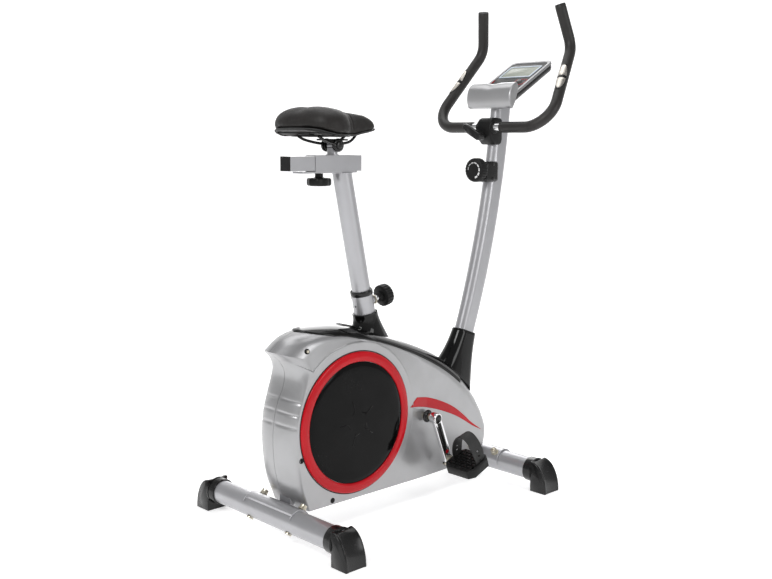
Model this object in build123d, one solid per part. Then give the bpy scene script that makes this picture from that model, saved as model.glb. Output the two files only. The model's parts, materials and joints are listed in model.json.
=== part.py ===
from build123d import *
import math
import os

# Upright magnetic exercise bike.
# Millimetres. +X is the way the rider faces, +Y is the rider's left, +Z is up.
# The origin is on the floor, under the middle of the overall length and width.

os.makedirs("parts", exist_ok=True)

SIDES = {"right": -1, "left": 1}

# Stabilizers and feet
TUBE_R = 30.0
TUBE_WALL = 2.0
STABILIZER_Z = 52.0
REAR_X = -463.0
FRONT_X = 279.0
REAR_HALF_WIDTH = 298.0
FRONT_HALF_WIDTH = 279.0
FOOT_DEPTH = 53.0
FOOT_HEIGHT = 84.0
FOOT_HALF_LENGTH = 32.0
FOOT_COLLAR_R = 33.5
FOOT_COLLAR_LENGTH = 27.0
TUBE_IN_FOOT = 7.0

# Saddle brackets and carriage bolts that hold the stabilizers
BRACKET_R = 34.0
REAR_BRACKET_HALF = 92.0
FRONT_BRACKET_HALF = 106.0
BOLT_R = 4.0
BOLT_TILT = 50.0
REAR_BOLT_Y = 76.0
FRONT_BOLT_Y = 90.0
NUT_R = 8.5
NUT_HEIGHT = 12.0
BOLT_HEAD_R = 9.0
BOLT_HEAD_HEIGHT = 4.0

# Keel of the frame
KEEL_HALF = 20.0
KEEL_Z0 = 70.0
KEEL_Z1 = 106.0
KEEL_WALL = 2.5

# Seat tube, seat post
SEAT_LEAN = 12.2
SEAT_TUBE_TOP = (-179.0, 0.0, 575.0)
SEAT_TUBE_R = 27.5
SEAT_TUBE_BORE = 25.5
SEAT_TUBE_LENGTH = 478.0
SEAT_POST_R = 24.0
SEAT_POST_WALL = 2.0
SEAT_POST_UP = 316.0
SEAT_POST_DOWN = 190.0
INDEX_HOLE_R = 5.0
INDEX_HOLE_PITCH = 25.0
INDEX_HOLES = 9
PIN_DROP = 33.0
PIN_R = 5.0
RUNNING = 0.06
GAP = 0.3

# Crank
CRANK_X = -2.0
CRANK_Z = 228.0
CRANK_LENGTH = 129.0
CRANK_ANGLE = 22.0
CRANK_AXLE_R = 8.5
CRANK_SHELL_R = 21.0
BEARING_R = 17.0
CRANK_FACE = 111.0
CRANK_BACK = 93.0
CRANK_ARM_THICK = 12.0
PEDAL_AXLE_R = 6.0
PEDAL_IN = 124.0
PEDAL_OUT = 220.0
PEDAL_LENGTH = 84.0
PEDAL_THICK = 27.0
PEDAL_TILT = 22.0

# Drive
PULLEY_R = 110.0
FLYWHEEL_PULLEY_R = 24.0
BELT_Y0 = 36.0
BELT_Y1 = 50.0
BELT_THICK = 3.0
FLYWHEEL_X = -259.0
FLYWHEEL_Z = 259.0
FLYWHEEL_R = 112.0
FLYWHEEL_HALF = 12.0
FLYWHEEL_AXLE_R = 6.0
BRAKE_ANGLE = 5.0
BRAKE_PIVOT = (-375.0, 326.0)

# Casing
CASING_HALF = 70.0
CASING_WALL = 3.0
COVER_THICK = 4.0
COVER_PLAN = [(-404, 10), (-400, 24), (-384, 46), (-342, 61), (-274, 66), (-60, 66), (168, 62)]
DISC_R = 155.0
DISC_RING_R = 180.0
DISC_Y = 73.0
DISC_RING_Y = 76.0

# Front post and what it carries
POST_LENGTH = 64.0
POST_WIDTH = 38.0
POST_WALL = 2.0
DIAL_X = 256.0
DIAL_Z = 878.0
DIAL_R = 33.5
BAR_X = 302.0
BAR_Z = 997.0
BAR_R = 12.5
BAR_WALL = 1.6
FOAM_R = 15.5
FOAM_START = 50.0
CLAMP_HALF = 26.0
LEVER_X = 268.0
LEVER_Z = 972.0

# Console: a slab that rises forwards at this angle
CONSOLE_TILT = 30.0
CONSOLE_LOW = (313.0, 1083.0)
CONSOLE_LENGTH = 211.0
CONSOLE_HALF = 74.0
CONSOLE_THICK = 24.5
APRON_HALF = 80.0

# Seat slider and saddle
RAIL_Z = 903.0
RAIL_HALF = 17.3
SLEEVE_HALF = 19.3
SLEEVE_BORE = 17.6
SLEEVE_X0 = -345.0
SLEEVE_X1 = -197.0
RAIL_X0 = -421.0
RAIL_X1 = -205.0
STUB_X = -276.0
STUB_R = 13.0
KNOB_X = -319.0
KNOB_R = 30.0
SADDLE_PIVOT_Z = 946.0
SADDLE_BASE_Z = 962.0
SADDLE_PAD_Z = 968.0


def rod(radius, start, end):
    """Round bar between two points."""
    a = Vector(*start)
    b = Vector(*end)
    return extrude(Plane(origin=a, z_dir=b - a) * Circle(radius), amount=(b - a).length)


def pipe(outer, inner, start, end):
    """Round tube between two points."""
    return rod(outer, start, end) - rod(inner, start, end)


def block(x0, x1, y0, y1, z0, z1):
    """Box between two corners."""
    return Pos((x0 + x1) / 2, (y0 + y1) / 2, (z0 + z1) / 2) * Box(x1 - x0, y1 - y0, z1 - z0)


def upright(sketch, y0, y1):
    """A sketch drawn in X and Z, given thickness from y0 to y1."""
    low, high = min(y0, y1), max(y0, y1)
    return extrude(Plane.XZ.offset(-high) * sketch, amount=high - low, dir=(0, -1, 0))


def polygon(points):
    """Closed face with straight sides."""
    return make_face(Polyline(*points, close=True).edges())


def mirrored(shape, side):
    """The shape as built for the rider's left, or mirrored for the right."""
    return shape if side > 0 else mirror(shape, about=Plane.XZ)


def crank_point(side, length):
    """A point along the crank arm of one side, in X and Z."""
    angle = math.radians(CRANK_ANGLE)
    reach = -side * length
    return CRANK_X + reach * math.sin(angle), CRANK_Z - reach * math.cos(angle)


def seat_axis(distance):
    """A point on the seat tube's axis, above the tube's top by a distance."""
    lean = math.radians(SEAT_LEAN)
    x, y, z = SEAT_TUBE_TOP
    return (x - distance * math.sin(lean), y, z + distance * math.cos(lean))


def pin_axis(distance):
    """A point on the locking pin's axis, in front of the seat post's axis."""
    lean = math.radians(SEAT_LEAN)
    x, y, z = seat_axis(-PIN_DROP)
    return (x + distance * math.cos(lean), y, z + distance * math.sin(lean))


def on_circle(centre, radius, degrees):
    """A point on a circle in X and Z."""
    angle = math.radians(degrees)
    return centre[0] + radius * math.cos(angle), centre[1] + radius * math.sin(angle)


# --- front post path -------------------------------------------------------

POST_ARC = ThreePointArc((217, 0, 424), (307, 0, 735), (358, 0, 1055))
POST_DOWN = POST_ARC % 0
POST_UP = POST_ARC % 1
POST_FOOT = POST_ARC @ 0 - POST_DOWN * 180
POST_TOP = POST_ARC @ 1 + POST_UP * 40


def post_plane(origin):
    """Plane across the straight lower end of the post, long axis fore and aft."""
    return Plane(origin=origin, x_dir=(POST_DOWN.Z, 0, -POST_DOWN.X), z_dir=POST_DOWN)


def post_sweep(section):
    """The section swept along the post from foot to top."""
    path = Wire([Line(POST_FOOT, POST_ARC @ 0), POST_ARC, Line(POST_ARC @ 1, POST_TOP)])
    return sweep(post_plane(POST_FOOT) * section, path=path)


def post_solid(length, width):
    """Solid flat-oval bar that follows the post."""
    return post_sweep(SlotOverall(length, width))


# The brake cable's route inside the post and casing, and the hole it leaves the post by.
TENSION_ROUTE = [
    (331, 0, 866), (309, 0, 745), (272, 0, 600), (222, 0, 446), (177, 0, 325),
    (114, -24, 288), (10, -43, 300), (-80, -45, 345), (-158, -43, 384), (-205, -14, 397),
]
CABLE_EXIT = ((177, 0, 325), (114, -24, 288))
CABLE_HOLE_R = 7.0

# Casing screws, as X and Z on each flank.
CASING_SCREWS = [(-338, 74), (-436, 196), (-409, 459), (75, 78), (190, 100)]

# --- console frame ---------------------------------------------------------


def console_plane():
    """Plane on the console's panel: x up the slope, y to the rider's right, z out."""
    tilt = math.radians(CONSOLE_TILT)
    low = (CONSOLE_LOW[0], 0, CONSOLE_LOW[1])
    slope = (math.cos(tilt), 0, math.sin(tilt))
    return Plane(origin=low, x_dir=slope, z_dir=(-math.sin(tilt), 0, math.cos(tilt)))


def console_slab(x0, x1, half, z0, z1, corner=0.0):
    """Slab in the console's own frame, with rounded corners seen from above."""
    if corner:
        face = Pos((x0 + x1) / 2, 0) * RectangleRounded(x1 - x0, 2 * half, corner)
    else:
        face = Pos((x0 + x1) / 2, 0) * Rectangle(x1 - x0, 2 * half)
    return extrude(console_plane().offset(z0) * face, amount=z1 - z0)


# --- casing outline --------------------------------------------------------

SEAM_RUNS = [
    [(-419, 64), (-456, 137), (-468, 240), (-457, 319), (-435, 369), (-431, 400), (-446, 431), (-477, 458)],
    [
        (-477, 458), (-440, 484), (-397, 498), (-330, 502), (-250, 494), (20, 401), (111, 355), (190, 291),
        (236, 238),
    ],
    [(236, 238), (264, 190), (281, 140), (274, 95), (238, 61)],
]
SIDE_RUNS = [
    [(-410, 64), (-430, 130), (-441, 200), (-444, 259), (-438, 310), (-416, 372), (-398, 402), (-405, 436)],
    [
        (-405, 436), (-395, 448), (-372, 462), (-330, 470), (-270, 469), (-118, 427), (45, 342), (151, 265),
        (205, 208),
    ],
    [(205, 208), (234, 172), (250, 138), (242, 95), (210, 61)],
]
# Heights of the flank's roundness, as parts of the half-width, where a section is drawn.
FLANK_SECTIONS = (0.0, 0.35, 0.62, 0.81, 0.94, 1.0)


def grown_runs(runs, amount):
    """The same runs moved outwards by an amount."""
    points = [point for run in runs for point in run[:-1]] + [runs[-1][-1]]
    count = len(points)
    moved = []
    for i, (x, z) in enumerate(points):
        before = points[i - 1]
        after = points[(i + 1) % count]
        dx, dz = after[0] - before[0], after[1] - before[1]
        size = math.hypot(dx, dz)
        moved.append((x - amount * dz / size, z + amount * dx / size))
    grown = []
    start = 0
    for run in runs:
        stop = start + len(run)
        grown.append(moved[start:stop])
        start = stop - 1
    return grown


def outline_face(runs, y):
    """Face bounded by the runs and a straight bottom, standing at one Y."""
    edges = [Spline(*[(x, y, z) for x, z in run]) for run in runs]
    edges.append(Line(edges[-1] @ 1, edges[0] @ 0))
    return Face(Wire(edges))


def blended_runs(share):
    """Outline part of the way from the seam to the flank."""
    runs = []
    for seam, side in zip(SEAM_RUNS, resampled_side()):
        runs.append([
            (a[0] + (b[0] - a[0]) * share, a[1] + (b[1] - a[1]) * share) for a, b in zip(seam, side)
        ])
    return runs


def resampled_side():
    """The flank's outline with as many points in each run as the seam has."""
    runs = []
    for seam, side in zip(SEAM_RUNS, SIDE_RUNS):
        curve = Spline(*side)
        last = len(seam) - 1
        runs.append([((curve @ (i / last)).X, (curve @ (i / last)).Y) for i in range(len(seam))])
    return runs


def casing_half_solid(grow):
    """Left half of the casing's volume, with every wall moved out by an amount."""
    faces = []
    for part in FLANK_SECTIONS:
        share = 1 - math.sqrt(1 - part * part)
        faces.append(outline_face(grown_runs(blended_runs(share), grow), part * (CASING_HALF + grow)))
    solid = loft(faces, ruled=True)
    wide = CASING_HALF + grow
    plan = [(-520, -1), (-520, wide), (60, wide), (170, wide - 4), (300, wide - 13), (300, -1)]
    return solid & extrude(polygon(plan), amount=600, dir=(0, 0, 1))


# --- frame -----------------------------------------------------------------


def keel():
    outer = block(REAR_X + 30, FRONT_X - 30, -KEEL_HALF, KEEL_HALF, KEEL_Z0, KEEL_Z1)
    half = KEEL_HALF - KEEL_WALL
    inner = block(REAR_X + 36, FRONT_X - 36, -half, half, KEEL_Z0 + KEEL_WALL, KEEL_Z1 - KEEL_WALL)
    holes = [rod(5, (x, 0, KEEL_Z0 - 1), (x, 0, KEEL_Z0 + 6)) for x in (REAR_X + 60, FRONT_X - 60)]
    return outer - inner - holes[0] - holes[1]


def bracket(x, half, sign):
    """Saddle plate on a stabilizer, over its top and inner side."""
    ring = pipe(BRACKET_R, TUBE_R, (x, -half, STABILIZER_Z), (x, half, STABILIZER_Z))
    x_far = x + sign * 60
    keep = block(min(x - sign * 20, x_far), max(x - sign * 20, x_far), -half, half, 62, 120)
    return ring & keep


def seat_tube():
    return pipe(SEAT_TUBE_R, SEAT_TUBE_BORE, seat_axis(0), seat_axis(-SEAT_TUBE_LENGTH))


def pin_boss():
    return rod(9, pin_axis(SEAT_TUBE_R - 2), pin_axis(SEAT_TUBE_R + 12))


def crank_shell_gusset():
    top = [(CRANK_X + 15, CRANK_Z - 12), (CRANK_X - 15, CRANK_Z + 12)]
    web = polygon([(-70, 104), (35, 104), *top, (-95, 300)])
    return upright(web, -3, 3)


def post_stub():
    """Oval stub that the front post slides over."""
    start = POST_FOOT - POST_DOWN * 160
    plane = post_plane(start)
    outer = plane * SlotOverall(POST_LENGTH - 2 * POST_WALL - 0.6, POST_WIDTH - 2 * POST_WALL - 0.6)
    inner = plane * SlotOverall(POST_LENGTH - 2 * POST_WALL - 5.6, POST_WIDTH - 2 * POST_WALL - 5.6)
    return extrude(outer - inner, amount=260)


def flywheel_brackets():
    """Two plates that hold the flywheel's axle, and the brake arm's pivot."""
    top = Pos(FLYWHEEL_X, FLYWHEEL_Z) * Circle(20)
    legs = polygon([(-317, 100), (-202, 100), (FLYWHEEL_X + 20, FLYWHEEL_Z), (FLYWHEEL_X - 20, FLYWHEEL_Z)])
    branch = polygon([
        (FLYWHEEL_X - 18, FLYWHEEL_Z - 18), (FLYWHEEL_X - 4, FLYWHEEL_Z + 19),
        (BRAKE_PIVOT[0] + 6, BRAKE_PIVOT[1] + 12), (BRAKE_PIVOT[0] - 10, BRAKE_PIVOT[1] - 8),
    ])
    boss = Pos(*BRAKE_PIVOT) * Circle(12)
    right = upright(top + legs + branch + boss, -24, -20)
    left = upright(top + legs, 54, 58)
    foot = block(-317, -202, KEEL_HALF - 1, 58, 100, 104)
    right_foot = block(-317, -202, -24, -KEEL_HALF + 1, 100, 104)
    pivot = rod(4, (BRAKE_PIVOT[0], -24, BRAKE_PIVOT[1]), (BRAKE_PIVOT[0], 12, BRAKE_PIVOT[1]))
    return right + left + foot + right_foot + pivot


def make_main_frame():
    frame = keel() + bracket(REAR_X, REAR_BRACKET_HALF, 1) + bracket(FRONT_X, FRONT_BRACKET_HALF, -1)
    frame += seat_tube() + pin_boss() + crank_shell_gusset() + post_stub() + flywheel_brackets()
    frame += rod(CRANK_SHELL_R, (CRANK_X, -32, CRANK_Z), (CRANK_X, 32, CRANK_Z))
    frame -= rod(BEARING_R, (CRANK_X, -60, CRANK_Z), (CRANK_X, 60, CRANK_Z))
    frame -= rod(SEAT_TUBE_BORE, seat_axis(5), seat_axis(-440))
    frame -= rod(PIN_R + RUNNING, pin_axis(SEAT_POST_R - 4), pin_axis(SEAT_TUBE_R + 20))
    frame -= rod(3, pin_axis(-40), pin_axis(-20))
    frame -= rod(FLYWHEEL_AXLE_R, (FLYWHEEL_X, -40, FLYWHEEL_Z), (FLYWHEEL_X, 80, FLYWHEEL_Z))
    for x, half in ((REAR_X, 200), (FRONT_X, 200)):
        frame -= rod(TUBE_R, (x, -half, STABILIZER_Z), (x, half, STABILIZER_Z))
    for shank in bolt_shanks():
        frame -= shank
    for x, y, z in post_bolt_points():
        frame -= rod(4, (x, -40, z), (x, 40, z))
    return frame - rod(CABLE_HOLE_R, *CABLE_EXIT)


def bolt_lines():
    """Axis of each stabilizer bolt: centre on the tube's axis, and direction to its nut."""
    tilt = math.radians(BOLT_TILT)
    lines = []
    for x, y, sign in ((REAR_X, REAR_BOLT_Y, 1), (FRONT_X, FRONT_BOLT_Y, -1)):
        for side in SIDES.values():
            direction = Vector(sign * math.cos(tilt), 0, math.sin(tilt))
            lines.append((Vector(x, side * y, STABILIZER_Z), direction))
    return lines


def bolt_shanks():
    return [rod(BOLT_R, centre - d * 60, centre + d * 60) for centre, d in bolt_lines()]


def stabilizer_bolts():
    """Carriage bolts through the stabilizers, with dome nuts on the bracket."""
    bolts = []
    for centre, d in bolt_lines():
        bolt = rod(BOLT_R, centre - d * TUBE_R, centre + d * (BRACKET_R + NUT_HEIGHT))
        bolt += rod(BOLT_HEAD_R, centre - d * (TUBE_R + BOLT_HEAD_HEIGHT), centre - d * (TUBE_R + 0.4))
        bolt += rod(BOLT_R, centre - d * (TUBE_R + 1), centre - d * (TUBE_R - 1))
        bolt += rod(NUT_R, centre + d * (BRACKET_R + 0.2), centre + d * (BRACKET_R + NUT_HEIGHT))
        bolts.append(bolt)
    return [bolt.solids()[0] for bolt in bolts]


def make_stabilizer_tube(x, half_width):
    end = half_width - FOOT_DEPTH + TUBE_IN_FOOT
    tube = pipe(TUBE_R, TUBE_R - TUBE_WALL, (x, -end, STABILIZER_Z), (x, end, STABILIZER_Z))
    for shank in bolt_shanks():
        tube -= shank
    return tube


def make_foot(x, half_width, side):
    """D-shaped foot cap with a collar round the tube."""
    inner = half_width - FOOT_DEPTH
    curve = EllipticalCenterArc((inner, 0), FOOT_DEPTH, FOOT_HEIGHT, start_angle=0, arc_size=90)
    base = Polyline((inner, FOOT_HEIGHT), (inner, 0), (half_width, 0))
    profile = Face(Wire(curve.edges() + base.edges()))
    cap = extrude(Plane.YZ.offset(x - FOOT_HALF_LENGTH) * profile, amount=2 * FOOT_HALF_LENGTH, dir=(1, 0, 0))
    cap += rod(FOOT_COLLAR_R, (x, inner - FOOT_COLLAR_LENGTH, STABILIZER_Z), (x, inner + 1, STABILIZER_Z))
    cap -= rod(TUBE_R, (x, inner - 40, STABILIZER_Z), (x, inner + TUBE_IN_FOOT, STABILIZER_Z))
    return mirrored(cap, side)


# --- casing and covers -----------------------------------------------------


def make_casing(side):
    """One half shell of the casing."""
    shell = casing_half_solid(0) - casing_half_solid(-CASING_WALL)
    shell -= rod(14, (CRANK_X, 50, CRANK_Z), (CRANK_X, 100, CRANK_Z))
    shell -= rod(SEAT_TUBE_R + 1, seat_axis(20), seat_axis(-200))
    shell -= extrude(post_plane(POST_FOOT - POST_DOWN * 20) * SlotOverall(84, 56), amount=300)
    shell -= block(REAR_X, FRONT_X, -1, KEEL_HALF + 1, KEEL_Z0 - 8, KEEL_Z1 + 1) - block(
        REAR_X + 70, FRONT_X - 70, -1, KEEL_HALF + 1, KEEL_Z0 - 8, KEEL_Z1 + 1)
    for x, half in ((REAR_X, REAR_BRACKET_HALF), (FRONT_X, FRONT_BRACKET_HALF)):
        shell -= rod(BRACKET_R + 1, (x, -1, STABILIZER_Z), (x, half + 1, STABILIZER_Z))
    for centre, d in bolt_lines():
        shell -= rod(NUT_R + 2, centre, centre + d * (BRACKET_R + NUT_HEIGHT + 2))
    for x, z in CASING_SCREWS:
        shell -= rod(3.5, (x, casing_side_y(x, z) - 15, z), (x, 100, z))
    return mirrored(shell, side)


def casing_side_y(x, z):
    """How far out the casing's flank is at one place."""
    probe = casing_half_solid(0) & block(x - 0.5, x + 0.5, 0, 120, z - 0.5, z + 0.5)
    return probe.bounding_box().max.Y


def make_casing_screws():
    """Short screws in the flanks of both half shells."""
    screws = []
    for x, z in CASING_SCREWS:
        y = casing_side_y(x, z)
        screw = rod(3.4, (x, y - 14, z), (x, y - 1.5, z))
        for side in SIDES.values():
            screws.append(mirrored(screw, side).solids()[0])
    return Compound(children=screws)


def seat_tube_cutter(extra):
    return rod(SEAT_TUBE_R + extra, seat_axis(40), seat_axis(-250))


def make_top_cover():
    """Glossy strip along the top of the casing, from the hood to the front post."""
    half = casing_half_solid(COVER_THICK) - casing_half_solid(0)
    plan = [(COVER_PLAN[0][0], 0), *COVER_PLAN, (COVER_PLAN[-1][0], 0)]
    half &= extrude(Plane.XY.offset(240) * make_face(Polyline(*plan, close=True)), amount=280)
    strip = half + mirror(half, about=Plane.XZ)
    strip -= seat_tube_cutter(1)
    return strip - extrude(post_plane(POST_FOOT - POST_DOWN * 20) * SlotOverall(84, 56), amount=300)


def boot(top_plane, top_face, base_plane, base_face, wall):
    """Hollow flared boot between two outlines."""
    outer = loft([top_plane * top_face(0), base_plane * base_face(0)])
    inner = loft([top_plane.offset(0.01) * top_face(wall), base_plane.offset(0.01) * base_face(wall)])
    return outer - inner


def make_seat_tube_boot():
    lean = Vector(*seat_axis(1)) - Vector(*seat_axis(0))
    top = Plane(origin=seat_axis(-56), x_dir=(lean.Z, 0, -lean.X), z_dir=lean)
    base = Plane(origin=(-148, 0, 452), x_dir=(0.95, 0, -0.32), z_dir=(0.32, 0, 0.95))
    flare = boot(top, lambda t: Circle(33 - t), base, lambda t: Ellipse(74 - t, 44 - t), 2.5)
    ring = pipe(33, SEAT_TUBE_R + 0.2, seat_axis(-56), seat_axis(-60))
    return solid_above_casing(flare + ring) - seat_tube_cutter(0.2)


def solid_above_casing(shape):
    """What is left of a shape outside the casing and its top cover."""
    casing = casing_half_solid(COVER_THICK)
    return shape - casing - mirror(casing, about=Plane.XZ)


def make_front_post_boot():
    top = post_plane(POST_ARC @ 0)
    base = Plane(origin=(168, 0, 296), x_dir=(0.755, 0, -0.656), z_dir=(0.656, 0, 0.755))
    flare = boot(
        top, lambda t: SlotOverall(78 - 2 * t, 50 - 2 * t),
        base, lambda t: SlotOverall(152 - 2 * t, 84 - 2 * t), 2.5,
    )
    collar = extrude(top * SlotOverall(78, 50), amount=-6)
    flare = solid_above_casing(flare + collar)
    return flare - post_solid(POST_LENGTH + 0.4, POST_WIDTH + 0.4)


def make_disc_cover(side):
    """Black disc on the flank, slightly domed."""
    x, z = FLYWHEEL_X, FLYWHEEL_Z
    disc = rod(DISC_R - 0.2, (x, CASING_HALF, z), (x, DISC_Y, z))
    return mirrored(disc, side)


def make_disc_ring(side):
    x, z = FLYWHEEL_X, FLYWHEEL_Z
    ring = pipe(DISC_RING_R, DISC_R, (x, CASING_HALF, z), (x, DISC_RING_Y, z))
    return mirrored(ring, side)


def make_crank_collars():
    """Black collars where the crank axle leaves the casing."""
    collars = []
    for side in SIDES.values():
        collar = rod(13.8, (CRANK_X, CASING_HALF - 5, CRANK_Z), (CRANK_X, CASING_HALF, CRANK_Z))
        collar += rod(17, (CRANK_X, CASING_HALF, CRANK_Z), (CRANK_X, CASING_HALF + 3.5, CRANK_Z))
        collar -= rod(CRANK_AXLE_R + 1, (CRANK_X, 50, CRANK_Z), (CRANK_X, 99, CRANK_Z))
        collars.append(mirrored(collar, side).solids()[0])
    return Compound(children=collars)


def make_seat_tube_bushing():
    sleeve = pipe(SEAT_TUBE_BORE - 0.05, SEAT_POST_R + RUNNING, seat_axis(-26), seat_axis(0))
    return sleeve + pipe(SEAT_TUBE_R + 0.6, SEAT_POST_R + RUNNING, seat_axis(0), seat_axis(4))


# --- drive -----------------------------------------------------------------


def make_bearings():
    """Crank bearings in the frame, and the flywheel's bearings on their axle."""
    rings = []
    for side in SIDES.values():
        y0, y1 = side * 20, side * 31.5
        rings.append(pipe(BEARING_R, CRANK_AXLE_R + RUNNING, (CRANK_X, y0, CRANK_Z), (CRANK_X, y1, CRANK_Z)))
    for y0, y1 in ((-16, -6), (36, 46)):
        rings.append(pipe(16, FLYWHEEL_AXLE_R, (FLYWHEEL_X, y0, FLYWHEEL_Z), (FLYWHEEL_X, y1, FLYWHEEL_Z)))
    return Compound(children=[r.solids()[0] for r in rings])


def make_flywheel_axle():
    x, z = FLYWHEEL_X, FLYWHEEL_Z
    axle = rod(FLYWHEEL_AXLE_R, (x, -32, z), (x, 65, z))
    for y0, y1 in ((-31, -24), (58, 64)):
        axle += upright(Pos(x, z) * RegularPolygon(10, 6), y0, y1)
    return axle


def make_flywheel():
    """Cast flywheel with its belt pulley turned on the hub."""
    x, z = FLYWHEEL_X, FLYWHEEL_Z
    wheel = rod(FLYWHEEL_R, (x, -FLYWHEEL_HALF, z), (x, FLYWHEEL_HALF, z))
    for y0, y1 in ((-FLYWHEEL_HALF - 1, -5), (5, FLYWHEEL_HALF + 1)):
        wheel -= pipe(86, 26, (x, y0, z), (x, y1, z))
    wheel += rod(20, (x, -18, z), (x, BELT_Y1 + 2, z))
    wheel += rod(FLYWHEEL_PULLEY_R, (x, BELT_Y0, z), (x, BELT_Y1, z))
    wheel += rod(FLYWHEEL_PULLEY_R + 2, (x, BELT_Y0 - 2, z), (x, BELT_Y0 + 0.5, z))
    return wheel - rod(16 + RUNNING, (x, -30, z), (x, 80, z))


def make_drive_pulley():
    x, z = CRANK_X, CRANK_Z
    pulley = pipe(PULLEY_R, PULLEY_R - 9, (x, BELT_Y0, z), (x, BELT_Y1, z))
    pulley += rod(PULLEY_R - 8, (x, 41, z), (x, 45, z)) + rod(26, (x, BELT_Y0, z), (x, BELT_Y1, z))
    for i in range(6):
        cx, cz = on_circle((x, z), 65, 60 * i)
        pulley -= rod(19, (cx, 30, cz), (cx, 70, cz))
    return pulley - rod(CRANK_AXLE_R, (x, 30, z), (x, 70, z))


def crank_axle():
    x, z = CRANK_X, CRANK_Z
    axle = rod(CRANK_AXLE_R, (x, -CRANK_FACE + 5, z), (x, CRANK_FACE - 5, z))
    return axle + rod(22, (x, BELT_Y0 - 3, z), (x, BELT_Y0, z))


def belt_loop(grow):
    """Area inside a belt that runs round both pulleys, this far off them."""
    a, b = (CRANK_X, CRANK_Z), (FLYWHEEL_X, FLYWHEEL_Z)
    ra, rb = PULLEY_R + grow, FLYWHEEL_PULLEY_R + grow
    dx, dz = b[0] - a[0], b[1] - a[1]
    along = math.degrees(math.atan2(dz, dx))
    spread = math.degrees(math.acos((ra - rb) / math.hypot(dx, dz)))
    corners = [
        on_circle(a, ra, along + spread), on_circle(b, rb, along + spread),
        on_circle(b, rb, along - spread), on_circle(a, ra, along - spread),
    ]
    return Pos(*a) * Circle(ra) + Pos(*b) * Circle(rb) + polygon(corners)


def make_drive_belt():
    loop = belt_loop(GAP + BELT_THICK) - belt_loop(GAP)
    return upright(loop, BELT_Y0 + 1, BELT_Y1 - 1)


def make_crank_arm(side):
    """Flat steel crank with a round boss at each end."""
    px, pz = crank_point(side, CRANK_LENGTH)
    length = CRANK_LENGTH
    boss = rod(14.5, (CRANK_X, CRANK_BACK - 4, CRANK_Z), (CRANK_X, CRANK_FACE, CRANK_Z))
    end = rod(13, (px, CRANK_BACK, pz), (px, CRANK_BACK + CRANK_ARM_THICK + 2, pz))
    ux, uz = (px - CRANK_X) / length, (pz - CRANK_Z) / length
    bar = polygon([
        (CRANK_X - 14 * uz, CRANK_Z + 14 * ux), (px - 11 * uz, pz + 11 * ux),
        (px + 11 * uz, pz - 11 * ux), (CRANK_X + 14 * uz, CRANK_Z - 14 * ux),
    ])
    arm = boss + end + upright(bar, CRANK_BACK + 2, CRANK_BACK + CRANK_ARM_THICK + 2)
    arm -= rod(CRANK_AXLE_R, (CRANK_X, 80, CRANK_Z), (CRANK_X, CRANK_FACE - 5, CRANK_Z))
    arm -= rod(11, (CRANK_X, CRANK_FACE - 5, CRANK_Z), (CRANK_X, CRANK_FACE + 1, CRANK_Z))
    arm -= rod(PEDAL_AXLE_R, (px, 90, pz), (px, 140, pz))
    return mirrored(arm, side)


def make_crank_caps():
    caps = []
    for side in SIDES.values():
        cap = rod(10.9, (CRANK_X, CRANK_FACE - 5, CRANK_Z), (CRANK_X, CRANK_FACE + 1.5, CRANK_Z))
        caps.append(mirrored(cap, side).solids()[0])
    return Compound(children=caps)


def make_axles():
    """The crank axle, and the pedal spindles that are screwed into the crank arms."""
    axles = [crank_axle().solids()[0]]
    for side in SIDES.values():
        px, pz = crank_point(side, CRANK_LENGTH)
        axle = rod(PEDAL_AXLE_R, (px, CRANK_BACK + 1, pz), (px, PEDAL_OUT - 6, pz))
        axle += rod(9, (px, CRANK_BACK + CRANK_ARM_THICK + 2, pz), (px, PEDAL_IN - 1.5, pz))
        axles.append(mirrored(axle, side).solids()[0])
    return Compound(children=axles)


def make_pedal(side):
    px, pz = crank_point(side, CRANK_LENGTH)
    long, wide = PEDAL_LENGTH, PEDAL_OUT - PEDAL_IN
    cut = 20.0
    hx, hy = long / 2, wide / 2
    octagon = polygon([
        (hx, hy - cut), (hx - cut, hy), (cut - hx, hy), (-hx, hy - cut),
        (-hx, cut - hy), (cut - hx, -hy), (hx - cut, -hy), (hx, cut - hy),
    ])
    body = Pos(0, 0, -PEDAL_THICK / 2) * extrude(octagon, amount=PEDAL_THICK)
    body -= Pos(0, -hy - 1, 0) * Rot(-90, 0, 0) * Cylinder(
        PEDAL_AXLE_R + RUNNING, wide - 3, align=(Align.CENTER, Align.CENTER, Align.MIN))
    body = Pos(px, (PEDAL_IN + PEDAL_OUT) / 2, pz) * Rot(0, -PEDAL_TILT, 0) * body
    return mirrored(body, side)


def make_pedal_strap(side):
    """Toe strap: an arch from the pedal's inner edge to its outer edge."""
    px, pz = crank_point(side, CRANK_LENGTH)
    y = (PEDAL_IN + PEDAL_OUT) / 2
    half, rise, thick, band = 40.0, 78.0, 2.6, 40.0
    arch = Ellipse(half + thick, rise + thick) - Ellipse(half, rise)
    arch &= Pos(0, rise) * Rectangle(4 * half, 2 * rise)
    lean = Plane(origin=(px + 8, y, pz + 6), x_dir=(0, 1, 0), z_dir=(0.97, 0, 0.24))
    strap = extrude(lean * arch, amount=band / 2, both=True)
    solid = Pos(px, y, pz) * Rot(0, -PEDAL_TILT, 0) * Box(200, 200, PEDAL_THICK + 0.01)
    return mirrored((strap - solid).solids().sort_by(Axis.Z)[-1], side)


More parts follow.
